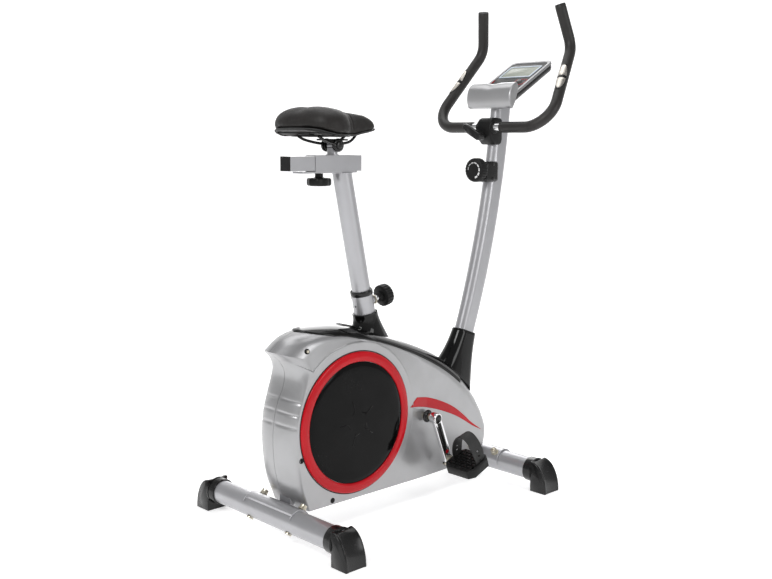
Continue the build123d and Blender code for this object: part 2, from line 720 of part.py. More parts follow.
def make_magnet_bracket():
    """Curved brake arm with magnets, drawn back from the flywheel by the brake angle."""
    centre = (FLYWHEEL_X, FLYWHEEL_Z)
    start, stop = 55.0, 143.0
    wedge = [centre] + [on_circle(centre, 260, start + (stop - start) * i / 6) for i in range(7)]
    ring = Pos(*centre) * (Circle(FLYWHEEL_R + 9) - Circle(FLYWHEEL_R + 6))
    arm = upright(ring & polygon(wedge), -16, 16)
    ear = Pos(*BRAKE_PIVOT) * Circle(9)
    link = polygon([
        on_circle(centre, FLYWHEEL_R + 9, 136), on_circle(centre, FLYWHEEL_R + 6.2, 143),
        (BRAKE_PIVOT[0] - 3, BRAKE_PIVOT[1] - 8), (BRAKE_PIVOT[0] + 3, BRAKE_PIVOT[1] + 8.5),
    ])
    arm += upright(ear + link, -14, 8)
    arm -= rod(4 + RUNNING, (BRAKE_PIVOT[0], -30, BRAKE_PIVOT[1]), (BRAKE_PIVOT[0], 30, BRAKE_PIVOT[1]))
    for i in range(6):
        magnet = Pos(FLYWHEEL_R + 4.6, 0, 0) * Box(3, 22, 14)
        arm += Pos(centre[0], 0, centre[1]) * Rot(0, -(62 + 14 * i), 0) * magnet
    pivot = Axis((BRAKE_PIVOT[0], 0, BRAKE_PIVOT[1]), (0, 1, 0))
    return arm.rotate(pivot, -BRAKE_ANGLE)


def make_speed_sensor():
    x, z = seat_axis(-340)[0], seat_axis(-340)[2]
    body = block(x - 10, x + 10, 18, BELT_Y0 - 2.5, z - 8, z + 8)
    return body - rod(SEAT_TUBE_R, seat_axis(-200), seat_axis(-460))


# --- front post group ------------------------------------------------------


def make_front_post():
    bore = SlotOverall(POST_LENGTH - 2 * POST_WALL, POST_WIDTH - 2 * POST_WALL)
    post = post_sweep(SlotOverall(POST_LENGTH, POST_WIDTH) - bore)
    post -= console_slab(-60, 300, 200, -CONSOLE_THICK, 60)
    post -= rod(CABLE_HOLE_R, *CABLE_EXIT)
    post -= rod(9, (DIAL_X + 20, 0, DIAL_Z), (DIAL_X + 60, 0, DIAL_Z))
    for x, y, z in post_bolt_points():
        post -= rod(4, (x, -40, z), (x, 40, z))
    return post


def post_bolt_points():
    """Two cross bolts that pin the post to its stub."""
    ahead = Vector(POST_DOWN.Z, 0, -POST_DOWN.X) * 17
    return [tuple(POST_FOOT + POST_DOWN * s + ahead) for s in (30, 80)]


def make_frame_bolts():
    """The stabilizer bolts, and the two cross bolts of the front post."""
    bolts = stabilizer_bolts()
    for x, y, z in post_bolt_points():
        half = POST_WIDTH / 2
        bolt = rod(4, (x, -half, z), (x, half, z))
        bolt += rod(7, (x, half, z), (x, half + 5, z)) + rod(7, (x, -half - 5, z), (x, -half, z))
        bolts.append(bolt.solids()[0])
    return Compound(children=bolts)


def make_tension_housing():
    body = block(274, 324, -26, 26, 844, 902)
    body = fillet(body.edges().filter_by(Axis.X), 8)
    body -= post_solid(POST_LENGTH, POST_WIDTH)
    return body - rod(8 + RUNNING, (260, 0, DIAL_Z), (304, 0, DIAL_Z))


def make_tension_dial():
    """Ribbed knob on a short spindle that turns in the housing."""
    knob = rod(DIAL_R, (DIAL_X - 12, 0, DIAL_Z), (DIAL_X + 14, 0, DIAL_Z))
    for i in range(24):
        cy, cz = on_circle((0, DIAL_Z), DIAL_R + 1, 15 * i)
        knob -= rod(2.2, (DIAL_X - 20, cy, cz), (DIAL_X + 9, cy, cz))
    return knob + rod(8, (DIAL_X + 14, 0, DIAL_Z), (DIAL_X + 36, 0, DIAL_Z))




def make_tension_cable():
    """Brake cable from the dial, down inside the post, to the brake arm."""
    radii = []
    for i in range(1, len(TENSION_ROUTE) - 1):
        a, b, c = (Vector(*TENSION_ROUTE[j]) for j in (i - 1, i, i + 1))
        turn = math.radians((b - a).get_angle(c - b))
        radii.append(0.45 * min((b - a).length, (c - b).length) / math.tan(turn / 2))
    path = FilletPolyline(*TENSION_ROUTE, radius=radii)
    start = Vector(*TENSION_ROUTE[0])
    return sweep(Plane(origin=start, z_dir=path % 0) * Circle(2.5), path=path)


def bar_route(side):
    """Corner points of one arm of the handlebar, from the middle outwards."""
    return [(BAR_X, 0, BAR_Z), (BAR_X, side * 219, BAR_Z), (465, side * 162, 1219), (437, side * 140, 1334)]


def bar_path(side, start):
    points = bar_route(side)
    points[0] = (BAR_X, side * start, BAR_Z)
    return FilletPolyline(*points, radius=[72, 62])


def swept_ring(outer, inner, path):
    face = Plane(origin=path @ 0, z_dir=path % 0) * (Circle(outer) - Circle(inner))
    return sweep(face, path=path)


def make_handlebar_tube():
    arms = [swept_ring(BAR_R, BAR_R - BAR_WALL, bar_path(side, 0)) for side in SIDES.values()]
    return arms[0] + arms[1]


def make_foam_grip(side):
    return swept_ring(FOAM_R, BAR_R, bar_path(side, FOAM_START))


def make_bar_end_caps():
    caps = []
    for side in SIDES.values():
        path = bar_path(side, FOAM_START)
        tip = path @ 1
        along = path % 1
        cap = rod(FOAM_R - 0.5, tip, tip + along * 2.5) + rod(BAR_R - BAR_WALL, tip - along * 14, tip)
        caps.append(cap.solids()[0])
    return Compound(children=caps)


def grip_frame(side):
    """Middle of the sensor pads, the arm's direction, and the way they face."""
    low, high = Vector(*bar_route(side)[1]), Vector(*bar_route(side)[2])
    along = (high - low).normalized()
    middle = low + along * 173
    facing = Vector(-1, side * 0.35, 0.25)
    facing = (facing - along * facing.dot(along)).normalized()
    return middle, along, facing


def make_pulse_sensors():
    """Two steel pads on each grip, split by a black bar."""
    pads = []
    for side in SIDES.values():
        middle, along, facing = grip_frame(side)
        shell = pipe(FOAM_R + 1.2, FOAM_R, middle - along * 60, middle + along * 60)
        oval = extrude(Plane(origin=middle, x_dir=along, z_dir=facing) * Ellipse(40, 12.5), amount=40)
        split = Plane(origin=middle - along * 2.5, z_dir=along)
        split = extrude(split * Rectangle(90, 90), amount=5)
        pads += ((shell & oval) - split).solids()
    return Compound(children=pads)


def make_handlebar_clamp():
    """Moulded clamp round the post and the bar."""
    body = block(285, 338, -CLAMP_HALF, CLAMP_HALF, 948, 1024)
    body = fillet(body.edges().filter_by(Axis.Z) + body.edges().filter_by(Axis.Y), 9)
    body -= post_solid(POST_LENGTH, POST_WIDTH)
    body -= rod(BAR_R + RUNNING, (BAR_X, -60, BAR_Z), (BAR_X, 60, BAR_Z))
    return body - rod(5 + RUNNING, (270, 0, LEVER_Z), (288, 0, LEVER_Z))


def make_clamp_lever():
    """Paddle lever on the clamp's tightening screw."""
    hub = rod(11, (LEVER_X - 6, 0, LEVER_Z), (284, 0, LEVER_Z))
    hub += rod(5, (283, 0, LEVER_Z), (287.5, 0, LEVER_Z))
    paddle = make_face(Polyline((8, -9), (44, 12), (56, 26), (50, 34), (34, 30), (-6, 9), close=True).edges())
    plane = Plane(origin=(LEVER_X - 4, 0, LEVER_Z), x_dir=(0, 1, 0), z_dir=(1, 0, 0))
    return hub + extrude(plane * paddle, amount=9)


def make_console_shell():
    """Black tray under the console's panel."""
    outer = console_slab(0, CONSOLE_LENGTH, CONSOLE_HALF - 2, -CONSOLE_THICK, -7, 16)
    inner = console_slab(3, CONSOLE_LENGTH - 3, CONSOLE_HALF - 5, -CONSOLE_THICK + 3, 0, 13)
    return outer - inner


def make_console_bezel():
    """Silver frame with a recessed panel and a window."""
    bezel = console_slab(0, CONSOLE_LENGTH + 1, CONSOLE_HALF, -7, 0, 18)
    bezel -= console_slab(8, CONSOLE_LENGTH - 12, CONSOLE_HALF - 9, -1.2, 5, 10)
    bezel -= console_slab(122, 184, 54, -5, 5, 3)
    return bezel - (console_plane() * Pos(86, -42, -10) * Cylinder(7 + 0.2, 30))


def make_lcd_window():
    return console_slab(122.2, 183.8, 53.8, -5, -1.6, 3)


def make_mode_button():
    return console_plane() * Pos(86, -42, -3) * Cylinder(7, 8)


def make_console_apron():
    """Silver hump over the console's lower end."""
    outer = Spline((306, 1054), (301, 1080), (309, 1106), (324, 1121), (334, 1122))
    back = Polyline(outer @ 1, (350, 1106), (338, 1062), (316, 1048), outer @ 0)
    body = upright(Face(Wire(outer.edges() + back.edges())), -APRON_HALF, APRON_HALF)
    body -= console_slab(0, CONSOLE_LENGTH, CONSOLE_HALF + 5, -CONSOLE_THICK, 0)
    body -= post_solid(POST_LENGTH, POST_WIDTH)
    return body.solids().sort_by(SortBy.VOLUME)[-1]


# --- seat group ------------------------------------------------------------


def make_seat_post():
    inner = SEAT_POST_R - SEAT_POST_WALL
    post = pipe(SEAT_POST_R, inner, seat_axis(-SEAT_POST_DOWN), seat_axis(SEAT_POST_UP + 20))
    post -= block(-400, -100, -60, 60, RAIL_Z - SLEEVE_HALF - 4, 1000)
    for i in range(INDEX_HOLES):
        offset = Vector(*seat_axis(INDEX_HOLE_PITCH * (i - 2))) - Vector(*seat_axis(0))
        start = Vector(*pin_axis(10)) + offset
        end = Vector(*pin_axis(40)) + offset
        post -= rod(INDEX_HOLE_R, start, end)
    return post


def make_slider_sleeve():
    """Square sleeve on top of the seat post, slotted for the saddle's stub."""
    z0, z1 = RAIL_Z - SLEEVE_HALF, RAIL_Z + SLEEVE_HALF
    sleeve = block(SLEEVE_X0, SLEEVE_X1, -SLEEVE_HALF, SLEEVE_HALF, z0, z1)
    sleeve -= block(-500, 0, -SLEEVE_BORE, SLEEVE_BORE, RAIL_Z - SLEEVE_BORE, RAIL_Z + SLEEVE_BORE)
    sleeve -= block(-500, -206, -STUB_R - 4.5, STUB_R + 4.5, RAIL_Z, z1 + 1)
    sleeve += block(-385, -212, -SLEEVE_HALF, SLEEVE_HALF, z0 - 4, z0)
    return sleeve - rod(5 + RUNNING, (KNOB_X, 0, 860), (KNOB_X, 0, RAIL_Z))


def make_slider_tube():
    """Inner square tube with the saddle's stub and pivot lug."""
    z0, z1 = RAIL_Z - RAIL_HALF, RAIL_Z + RAIL_HALF
    tube = block(RAIL_X0, RAIL_X1, -RAIL_HALF, RAIL_HALF, z0, z1)
    inside = RAIL_HALF - 2
    tube -= block(RAIL_X0 - 1, RAIL_X1 + 1, -inside, inside, RAIL_Z - inside, RAIL_Z + inside)
    tube += rod(STUB_R, (STUB_X, 0, z1 - 1), (STUB_X, 0, SADDLE_PIVOT_Z - 6))
    tube += rod(STUB_R + 3.5, (STUB_X, 0, z1 - 1), (STUB_X, 0, z1 + 4))
    tube += rod(9, (STUB_X, -11, SADDLE_PIVOT_Z), (STUB_X, 11, SADDLE_PIVOT_Z))
    return tube - rod(4 + RUNNING, (STUB_X, -20, SADDLE_PIVOT_Z), (STUB_X, 20, SADDLE_PIVOT_Z))


def make_slider_end_caps():
    z0, z1 = RAIL_Z - RAIL_HALF, RAIL_Z + RAIL_HALF
    rear = block(RAIL_X0 - 3, RAIL_X0, -RAIL_HALF, RAIL_HALF, z0, z1)
    front = block(RAIL_X1, RAIL_X1 + 6, -RAIL_HALF, RAIL_HALF, z0, z1)
    return Compound(children=[rear.solids()[0], front.solids()[0]])


def make_slider_knob():
    """Lobed clamping knob under the sleeve."""
    z0 = RAIL_Z - SLEEVE_HALF - 4
    knob = rod(KNOB_R - 3, (KNOB_X, 0, 848), (KNOB_X, 0, 868))
    for i in range(8):
        cx = KNOB_X + (KNOB_R - 8) * math.cos(math.radians(45 * i))
        cy = (KNOB_R - 8) * math.sin(math.radians(45 * i))
        knob += rod(8, (cx, cy, 848), (cx, cy, 868))
    knob += rod(9.8, (KNOB_X, 0, 867), (KNOB_X, 0, z0 - 0.4))
    return knob + rod(5, (KNOB_X, 0, 870), (KNOB_X, 0, RAIL_Z - RAIL_HALF - GAP))


def make_seat_pin_knob():
    """Ribbed pull knob with its locking pin, drawn back to the post's surface."""
    knob = rod(28.5, pin_axis(62), pin_axis(88))
    knob += rod(14, pin_axis(52), pin_axis(62)) + rod(8, pin_axis(SEAT_TUBE_R + 12.5), pin_axis(53))
    knob += rod(PIN_R, pin_axis(SEAT_POST_R + GAP + 0.3), pin_axis(50))
    for i in range(18):
        angle = math.radians(20 * i)
        lean = math.radians(SEAT_LEAN)
        up = Vector(-math.sin(lean), 0, math.cos(lean)) * (29.5 * math.cos(angle))
        shift = up + Vector(0, 29.5 * math.sin(angle), 0)
        knob -= rod(2.4, (Vector(*pin_axis(60)) + shift), (Vector(*pin_axis(84)) + shift))
    return knob


def saddle_plan(inset):
    """Outline of the saddle seen from above."""
    half = [(-409 + inset, 0), (-404 + inset, 54 - inset), (-382, 95 - inset), (-346, 112 - inset)]
    half += [(-309, 106 - inset), (-283, 82 - inset), (-261, 59 - inset), (-225, 44 - inset)]
    half += [(-181, 35 - inset)]
    half += [(-151 - inset / 2, 26 - inset), (-134 - inset, 0)]
    other = [(x, -y) for x, y in reversed(half[1:-1])]
    return make_face(Spline(*(half + other), periodic=True).edges())


def make_saddle_pad():
    """Plain closed solid of the padded saddle, with a flat middle underneath and a raised nose."""
    pad = extrude(Plane.XY.offset(SADDLE_BASE_Z) * saddle_plan(0), amount=90, dir=(0, 0, 1))
    points = [(-420, 998), (-398, 1024), (-352, 1040), (-290, 1034), (-220, 1027), (-158, 1017), (-125, 984)]
    top = Spline(*points)
    flat = SADDLE_PAD_Z
    under = [(-136, 985), (-190, 979), (-240, flat), (-350, flat), (-400, 984), (-420, 986)]
    bottom = Polyline(top @ 1, *under, top @ 0)
    return pad & upright(Face(Wire(top.edges() + bottom.edges())), -130, 130)


def make_saddle_base():
    """Flat pan under the middle of the pad."""
    depth = SADDLE_PAD_Z - SADDLE_BASE_Z
    pan = extrude(Plane.XY.offset(SADDLE_BASE_Z) * saddle_plan(9), amount=depth, dir=(0, 0, 1))
    return pan & block(-350, -240, -120, 120, SADDLE_BASE_Z, SADDLE_PAD_Z)


def make_saddle_clamp():
    """Cheeks and pivot pin that hold the saddle on its stub."""
    clamp = block(STUB_X - 34, STUB_X + 34, -19, 19, SADDLE_BASE_Z - 4, SADDLE_BASE_Z)
    for side in SIDES.values():
        cheek = rod(13, (STUB_X, side * 13.6, SADDLE_PIVOT_Z), (STUB_X, side * 19, SADDLE_PIVOT_Z))
        y0, y1 = sorted((side * 13.6, side * 19))
        cheek += block(STUB_X - 12, STUB_X + 12, y0, y1, SADDLE_PIVOT_Z, SADDLE_BASE_Z - 3)
        clamp += cheek
    return clamp + rod(4, (STUB_X, -22, SADDLE_PIVOT_Z), (STUB_X, 22, SADDLE_PIVOT_Z))


# --- everything ------------------------------------------------------------


def build_parts():
    parts = {
        "main_frame": make_main_frame(),
        "rear_stabilizer_tube": make_stabilizer_tube(REAR_X, REAR_HALF_WIDTH),
        "front_stabilizer_tube": make_stabilizer_tube(FRONT_X, FRONT_HALF_WIDTH),
        "frame_bolts": make_frame_bolts(),
        "casing_screws": make_casing_screws(),
        "top_cover": make_top_cover(),
        "seat_tube_boot": make_seat_tube_boot(),
        "front_post_boot": make_front_post_boot(),
        "crank_collars": make_crank_collars(),
        "seat_tube_bushing": make_seat_tube_bushing(),
        "bearings": make_bearings(),
        "flywheel_axle": make_flywheel_axle(),
        "flywheel": make_flywheel(),
        "drive_pulley": make_drive_pulley(),
        "crank_and_pedal_axles": make_axles(),
        "crank_caps": make_crank_caps(),
        "drive_belt": make_drive_belt(),
        "magnet_bracket": make_magnet_bracket(),
        "speed_sensor": make_speed_sensor(),
        "front_post": make_front_post(),
        "tension_housing": make_tension_housing(),
        "tension_dial": make_tension_dial(),
        "tension_cable": make_tension_cable(),
        "handlebar_tube": make_handlebar_tube(),
        "bar_end_caps": make_bar_end_caps(),
        "pulse_sensors": make_pulse_sensors(),
        "handlebar_clamp": make_handlebar_clamp(),
        "clamp_lever": make_clamp_lever(),
        "console_shell": make_console_shell(),
        "console_bezel": make_console_bezel(),
        "console_apron": make_console_apron(),
        "lcd_window": make_lcd_window(),
        "mode_button": make_mode_button(),
        "seat_post": make_seat_post(),
        "slider_sleeve": make_slider_sleeve(),
        "slider_tube": make_slider_tube(),
        "slider_end_caps": make_slider_end_caps(),
        "slider_knob": make_slider_knob(),
        "seat_pin_knob": make_seat_pin_knob(),
        "saddle_pad": make_saddle_pad(),
        "saddle_base": make_saddle_base(),
        "saddle_clamp": make_saddle_clamp(),
    }
    for name, side in SIDES.items():
        parts[f"rear_foot_{name}"] = make_foot(REAR_X, REAR_HALF_WIDTH, side)
        parts[f"front_foot_{name}"] = make_foot(FRONT_X, FRONT_HALF_WIDTH, side)
        parts[f"casing_{name}"] = make_casing(side)
        parts[f"disc_cover_{name}"] = make_disc_cover(side)
        parts[f"disc_ring_{name}"] = make_disc_ring(side)
        parts[f"crank_arm_{name}"] = make_crank_arm(side)
        parts[f"pedal_{name}"] = make_pedal(side)
        parts[f"pedal_strap_{name}"] = make_pedal_strap(side)
        parts[f"foam_grip_{name}"] = make_foam_grip(side)
    return parts


for node, shape in build_parts().items():
    export_step(shape, f"parts/{node}.step")
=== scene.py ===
import json
import math
import bmesh
import bpy
from mathutils import Matrix, Vector, noise


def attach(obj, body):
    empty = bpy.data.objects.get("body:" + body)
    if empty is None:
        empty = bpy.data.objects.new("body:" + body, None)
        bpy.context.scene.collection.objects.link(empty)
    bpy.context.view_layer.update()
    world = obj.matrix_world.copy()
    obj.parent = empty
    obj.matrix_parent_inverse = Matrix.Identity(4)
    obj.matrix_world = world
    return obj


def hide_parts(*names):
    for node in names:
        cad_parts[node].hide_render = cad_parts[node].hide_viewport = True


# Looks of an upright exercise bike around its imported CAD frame.
# Points and sizes are written in millimetres, and new_mesh turns them into metres.
# +X is the way the rider faces, +Y the rider's left, +Z up.

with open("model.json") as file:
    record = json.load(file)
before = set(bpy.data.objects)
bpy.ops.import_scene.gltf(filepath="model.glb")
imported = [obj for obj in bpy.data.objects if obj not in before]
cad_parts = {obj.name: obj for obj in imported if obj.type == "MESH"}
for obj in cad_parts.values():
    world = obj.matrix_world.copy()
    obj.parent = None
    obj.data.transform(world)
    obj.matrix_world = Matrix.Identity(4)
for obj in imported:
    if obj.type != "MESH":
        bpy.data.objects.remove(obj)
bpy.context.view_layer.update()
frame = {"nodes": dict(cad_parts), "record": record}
NODES = frame["nodes"]
MM = 0.001
SIDES = {"right": -1, "left": 1}

# --- sizes shared with the CAD -------------------------------------------------

REAR_X = -463.0
FRONT_X = 279.0
TUBE_Z = 52.0
CRANK = Vector((-2.0, 0.0, 228.0))
CRANK_LENGTH = 129.0
CRANK_ANGLE = math.radians(22.0)
WHEEL = Vector((-259.0, 0.0, 259.0))
CASING_HALF = 70.0
COVER_PLAN = [(-404, 10), (-400, 24), (-384, 46), (-342, 61), (-274, 66), (-60, 66), (168, 62)]
CASING_SCREWS = [(-338, 74), (-436, 196), (-409, 459), (75, 78), (190, 100)]
DIAL = Vector((256.0, 0.0, 878.0))
BAR = Vector((302.0, 0.0, 997.0))
LEVER = Vector((268.0, 0.0, 972.0))
CONSOLE_TILT = math.radians(30.0)
CONSOLE_LOW = Vector((313.0, 0.0, 1083.0))
SEAT_LEAN = math.radians(12.2)
SEAT_TUBE_TOP = Vector((-179.0, 0.0, 575.0))
STUB_X = -276.0
PIVOT_Z = 946.0


# --- mesh helpers --------------------------------------------------------------


def crossed(a, b):
    return Vector(a).cross(Vector(b)).normalized()


def finish_piece(obj, body, material, smooth=40.0):
    """Gives a piece its material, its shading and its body."""
    if obj.type == "MESH":
        for poly in obj.data.polygons:
            poly.use_smooth = True
        if smooth is not None:
            obj.data.set_sharp_from_angle(angle=math.radians(smooth))
    obj.data.materials.clear()
    obj.data.materials.append(material)
    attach(obj, body)
    return obj


def new_mesh(name, verts, faces):
    """Mesh object from points in millimetres."""
    mesh = bpy.data.meshes.new(name)
    mesh.from_pydata([tuple(Vector(v) * MM) for v in verts], [], faces)
    work = bmesh.new()
    work.from_mesh(mesh)
    bmesh.ops.remove_doubles(work, verts=work.verts, dist=1e-6)
    bmesh.ops.recalc_face_normals(work, faces=work.faces)
    work.to_mesh(mesh)
    work.free()
    obj = bpy.data.objects.new(name, mesh)
    bpy.context.scene.collection.objects.link(obj)
    return obj


def bevel(obj, width, segments=3, angle=35.0):
    mod = obj.modifiers.new("edge_round", "BEVEL")
    mod.width = width * MM
    mod.segments = segments
    mod.limit_method = "ANGLE"
    mod.angle_limit = math.radians(angle)
    mod.harden_normals = True
    return obj


def subdivide(obj, levels=2):
    mod = obj.modifiers.new("smooth_form", "SUBSURF")
    mod.levels = levels
    mod.render_levels = levels
    return obj


def thicken(obj, thickness, offset=-1.0):
    mod = obj.modifiers.new("wall", "SOLIDIFY")
    mod.thickness = thickness * MM
    mod.offset = offset
    return obj


def rings_to_faces(count, size, closed=True):
    """Quads between successive rings of the same size."""
    faces = []
    last = size if closed else size - 1
    for i in range(count - 1):
        for j in range(last):
            k = (j + 1) % size
            faces.append((i * size + j, i * size + k, (i + 1) * size + k, (i + 1) * size + j))
    return faces


def loft(name, rings, closed=True, caps=True):
    """Surface through rings of points, with flat ends."""
    size = len(rings[0])
    verts = [point for ring in rings for point in ring]
    faces = rings_to_faces(len(rings), size, closed)
    if caps:
        faces.append(tuple(range(size)))
        start = (len(rings) - 1) * size
        faces.append(tuple(range(start, start + size)))
    return new_mesh(name, verts, faces)


def axes_for(axis, up=None):
    """Two directions across an axis."""
    axis = Vector(axis).normalized()
    guide = Vector(up) if up else (Vector((0, 0, 1)) if abs(axis.z) < 0.9 else Vector((1, 0, 0)))
    across = crossed(guide, axis)
    return across, axis.cross(across).normalized()


def lathe(name, profile, origin, axis, segments=64, ripple=None, caps=False, up=None):
    """Turned piece. The profile lists radius and height; ripple scales the radius by angle and row."""
    axis = Vector(axis).normalized()
    a, b = axes_for(axis, up)
    origin = Vector(origin)
    rings = []
    for row, (radius, height) in enumerate(profile):
        ring = []
        for j in range(segments):
            angle = 2 * math.pi * j / segments
            r = radius * (ripple(angle, row) if ripple else 1.0)
            ring.append(origin + axis * height + (a * math.cos(angle) + b * math.sin(angle)) * r)
        rings.append(ring)
    return loft(name, rings, caps=caps)


def joined(name, pieces):
    """Several meshes as one object, with their modifiers applied."""
    graph = bpy.context.evaluated_depsgraph_get()
    whole = bmesh.new()
    for piece in pieces:
        mesh = bpy.data.meshes.new_from_object(piece.evaluated_get(graph))
        mesh.transform(piece.matrix_world)
        whole.from_mesh(mesh)
        bpy.data.meshes.remove(mesh)
        bpy.data.objects.remove(piece)
    mesh = bpy.data.meshes.new(name)
    whole.to_mesh(mesh)
    whole.free()
    obj = bpy.data.objects.new(name, mesh)
    bpy.context.scene.collection.objects.link(obj)
    return obj


def hull_outline(c1, r1, c2, r2, steps=14):
    """Outline round two circles."""
    c1, c2 = Vector(c1), Vector(c2)
    along = c2 - c1
    base = math.atan2(along.y, along.x)
    lean = math.acos((r1 - r2) / along.length)
    points = []
    for i in range(steps + 1):
        angle = base + lean + (2 * math.pi - 2 * lean) * i / steps
        points.append((c1.x + r1 * math.cos(angle), c1.y + r1 * math.sin(angle)))
    for i in range(steps + 1):
        angle = base - lean + 2 * lean * i / steps
        points.append((c2.x + r2 * math.cos(angle), c2.y + r2 * math.sin(angle)))
    return points


def rounded_rectangle(length, width, radius, steps=6):
    points = []
    for cx, cy, start in ((1, 1, 0), (-1, 1, 90), (-1, -1, 180), (1, -1, 270)):
        for i in range(steps + 1):
            angle = math.radians(start + 90 * i / steps)
            points.append((
                cx * (length / 2 - radius) + radius * math.cos(angle),
                cy * (width / 2 - radius) + radius * math.sin(angle)))
    return points


def spline(points, count):
    """Smooth curve through points (Catmull-Rom, by chord length), sampled evenly by parameter."""
    pts = [Vector(p) for p in points]
    pts = [2 * pts[0] - pts[1]] + pts + [2 * pts[-1] - pts[-2]]
    spans = len(pts) - 3
    knots = [0.0]
    for a, b in zip(pts, pts[1:]):
        knots.append(knots[-1] + max((b - a).length, 1e-6) ** 0.5)
    low, high = knots[1], knots[-2]
    out = []
    for i in range(count):
        t = low + (high - low) * i / (count - 1)
        k = max(j for j in range(1, spans + 1) if knots[j] <= t + 1e-9)
        p, n = pts[k - 1:k + 3], knots[k - 1:k + 3]
        a1 = p[0].lerp(p[1], (t - n[0]) / (n[1] - n[0]))
        a2 = p[1].lerp(p[2], (t - n[1]) / (n[2] - n[1]))
        a3 = p[2].lerp(p[3], (t - n[2]) / (n[3] - n[2]))
        b1 = a1.lerp(a2, (t - n[0]) / (n[2] - n[0]))
        b2 = a2.lerp(a3, (t - n[1]) / (n[3] - n[1]))
        out.append(b1.lerp(b2, (t - n[1]) / (n[2] - n[1])))
    return out


def filleted(points, radii, step=6.0):
    """Path with straight runs and round bends."""
    pts = [Vector(p) for p in points]
    path = [pts[0]]
    for i, radius in zip(range(1, len(pts) - 1), radii):
        into, out = (pts[i] - pts[i - 1]).normalized(), (pts[i + 1] - pts[i]).normalized()
        turn = into.angle(out)
        reach = radius * math.tan(turn / 2)
        start = pts[i] - into * reach
        centre = start + (out - into * out.dot(into)).normalized() * radius
        count = max(6, int(radius * turn / step))
        arm = start - centre
        axis = into.cross(out)
        path += [centre + Matrix.Rotation(turn * k / count, 3, axis) @ arm for k in range(count + 1)]
    path.append(pts[-1])
    dense = [path[0]]
    for a, b in zip(path, path[1:]):
        count = max(1, int((b - a).length / (step * 2)))
        dense += [a.lerp(b, k / count) for k in range(1, count + 1)]
    return dense


def along_path(path):
    """Frames along a path that turn as little as they can: point, tangent, side, up."""
    side = axes_for(path[1] - path[0])[0]
    frames = []
    for i, point in enumerate(path):
        tangent = (path[min(i + 1, len(path) - 1)] - path[max(i - 1, 0)]).normalized()
        side = (side - tangent * side.dot(tangent)).normalized()
        frames.append((point, tangent, side, tangent.cross(side)))
    return frames


def swept(name, path, radii, segments=32, caps=True):
    """Round bar along a path. radii is one radius or one for each point."""
    if not isinstance(radii, (list, tuple)):
        radii = [radii] * len(path)
    rings = []
    for (point, _, side, up), radius in zip(along_path(path), radii):
        rings.append([
            point + (side * math.cos(2 * math.pi * j / segments) + up * math.sin(2 * math.pi * j / segments)) * radius
            for j in range(segments)])
    return loft(name, rings, caps=caps)


def smoothstep(a, b, x):
    t = min(max((x - a) / (b - a), 0.0), 1.0)
    return t * t * (3 - 2 * t)


# --- materials -----------------------------------------------------------------


def node(tree, kind, **values):
    made = tree.nodes.new(kind)
    for key, value in values.items():
        if key in made.inputs:
            made.inputs[key].default_value = value
        else:
            setattr(made, key, value)
    return made


def ramp(tree, source, low, high, start=0.35, stop=0.65):
    """Two greys or colours spread over a noise."""
    made = tree.nodes.new("ShaderNodeValToRGB")
    made.color_ramp.elements[0].position = start
    made.color_ramp.elements[1].position = stop
    made.color_ramp.elements[0].color = (*low, 1.0)
    made.color_ramp.elements[1].color = (*high, 1.0)
    tree.links.new(source, made.inputs["Fac"])
    return made.outputs["Color"]


def spread(tree, source, low, high):
    made = node(tree, "ShaderNodeMapRange")
    made.inputs["From Min"].default_value = 0.3
    made.inputs["From Max"].default_value = 0.7
    made.inputs["To Min"].default_value = low
    made.inputs["To Max"].default_value = high
    tree.links.new(source, made.inputs["Value"])
    return made.outputs["Result"]


def noise_at(tree, coords, scale, detail=4.0, stretch=None):
    made = node(tree, "ShaderNodeTexNoise", Scale=scale, Detail=detail)
    source = coords.outputs["Object"]
    if stretch:
        mapping = node(tree, "ShaderNodeMapping")
        mapping.inputs["Scale"].default_value = stretch
        tree.links.new(source, mapping.inputs["Vector"])
        source = mapping.outputs["Vector"]
    tree.links.new(source, made.inputs["Vector"])
    return made.outputs["Fac"]


def bumped(tree, shader, source, strength, distance):
    made = node(tree, "ShaderNodeBump")
    made.inputs["Strength"].default_value = strength
    made.inputs["Distance"].default_value = distance
    tree.links.new(source, made.inputs["Height"])
    tree.links.new(made.outputs["Normal"], shader.inputs["Normal"])


def material(name, low, high, rough, metallic=0.0, coat=0.0, coat_rough=0.06, patch=18.0, fine=900.0,
             grain=0.0, grain_size=0.0002, stretch=None, sheen=0.0, specular=0.5, cells=0.0):
    """Surface with patchy colour, uneven gloss and a grain of its own."""
    made = bpy.data.materials.new(name)
    made.use_nodes = True
    tree = made.node_tree
    shader = tree.nodes["Principled BSDF"]
    coords = node(tree, "ShaderNodeTexCoord")
    broad = noise_at(tree, coords, patch, 5.0)
    close = noise_at(tree, coords, fine, 3.0, stretch)
    tree.links.new(ramp(tree, broad, low, high), shader.inputs["Base Color"])
    uneven = noise_at(tree, coords, patch * 6, 6.0)
    tree.links.new(spread(tree, uneven, rough[0], rough[1]), shader.inputs["Roughness"])
    shader.inputs["Metallic"].default_value = metallic
    shader.inputs["Coat Weight"].default_value = coat
    shader.inputs["Coat Roughness"].default_value = coat_rough
    shader.inputs["Sheen Weight"].default_value = sheen
    shader.inputs["Specular IOR Level"].default_value = specular
    if cells:
        voronoi = node(tree, "ShaderNodeTexVoronoi", Scale=cells)
        tree.links.new(coords.outputs["Object"], voronoi.inputs["Vector"])
        mix = node(tree, "ShaderNodeMath", operation="ADD")
        tree.links.new(voronoi.outputs["Distance"], mix.inputs[0])
        tree.links.new(close, mix.inputs[1])
        close = mix.outputs["Value"]
    if grain:
        bumped(tree, shader, close, grain, grain_size)
    return made


def grey(value, tint=0.0):
    return (value, value, value + tint)


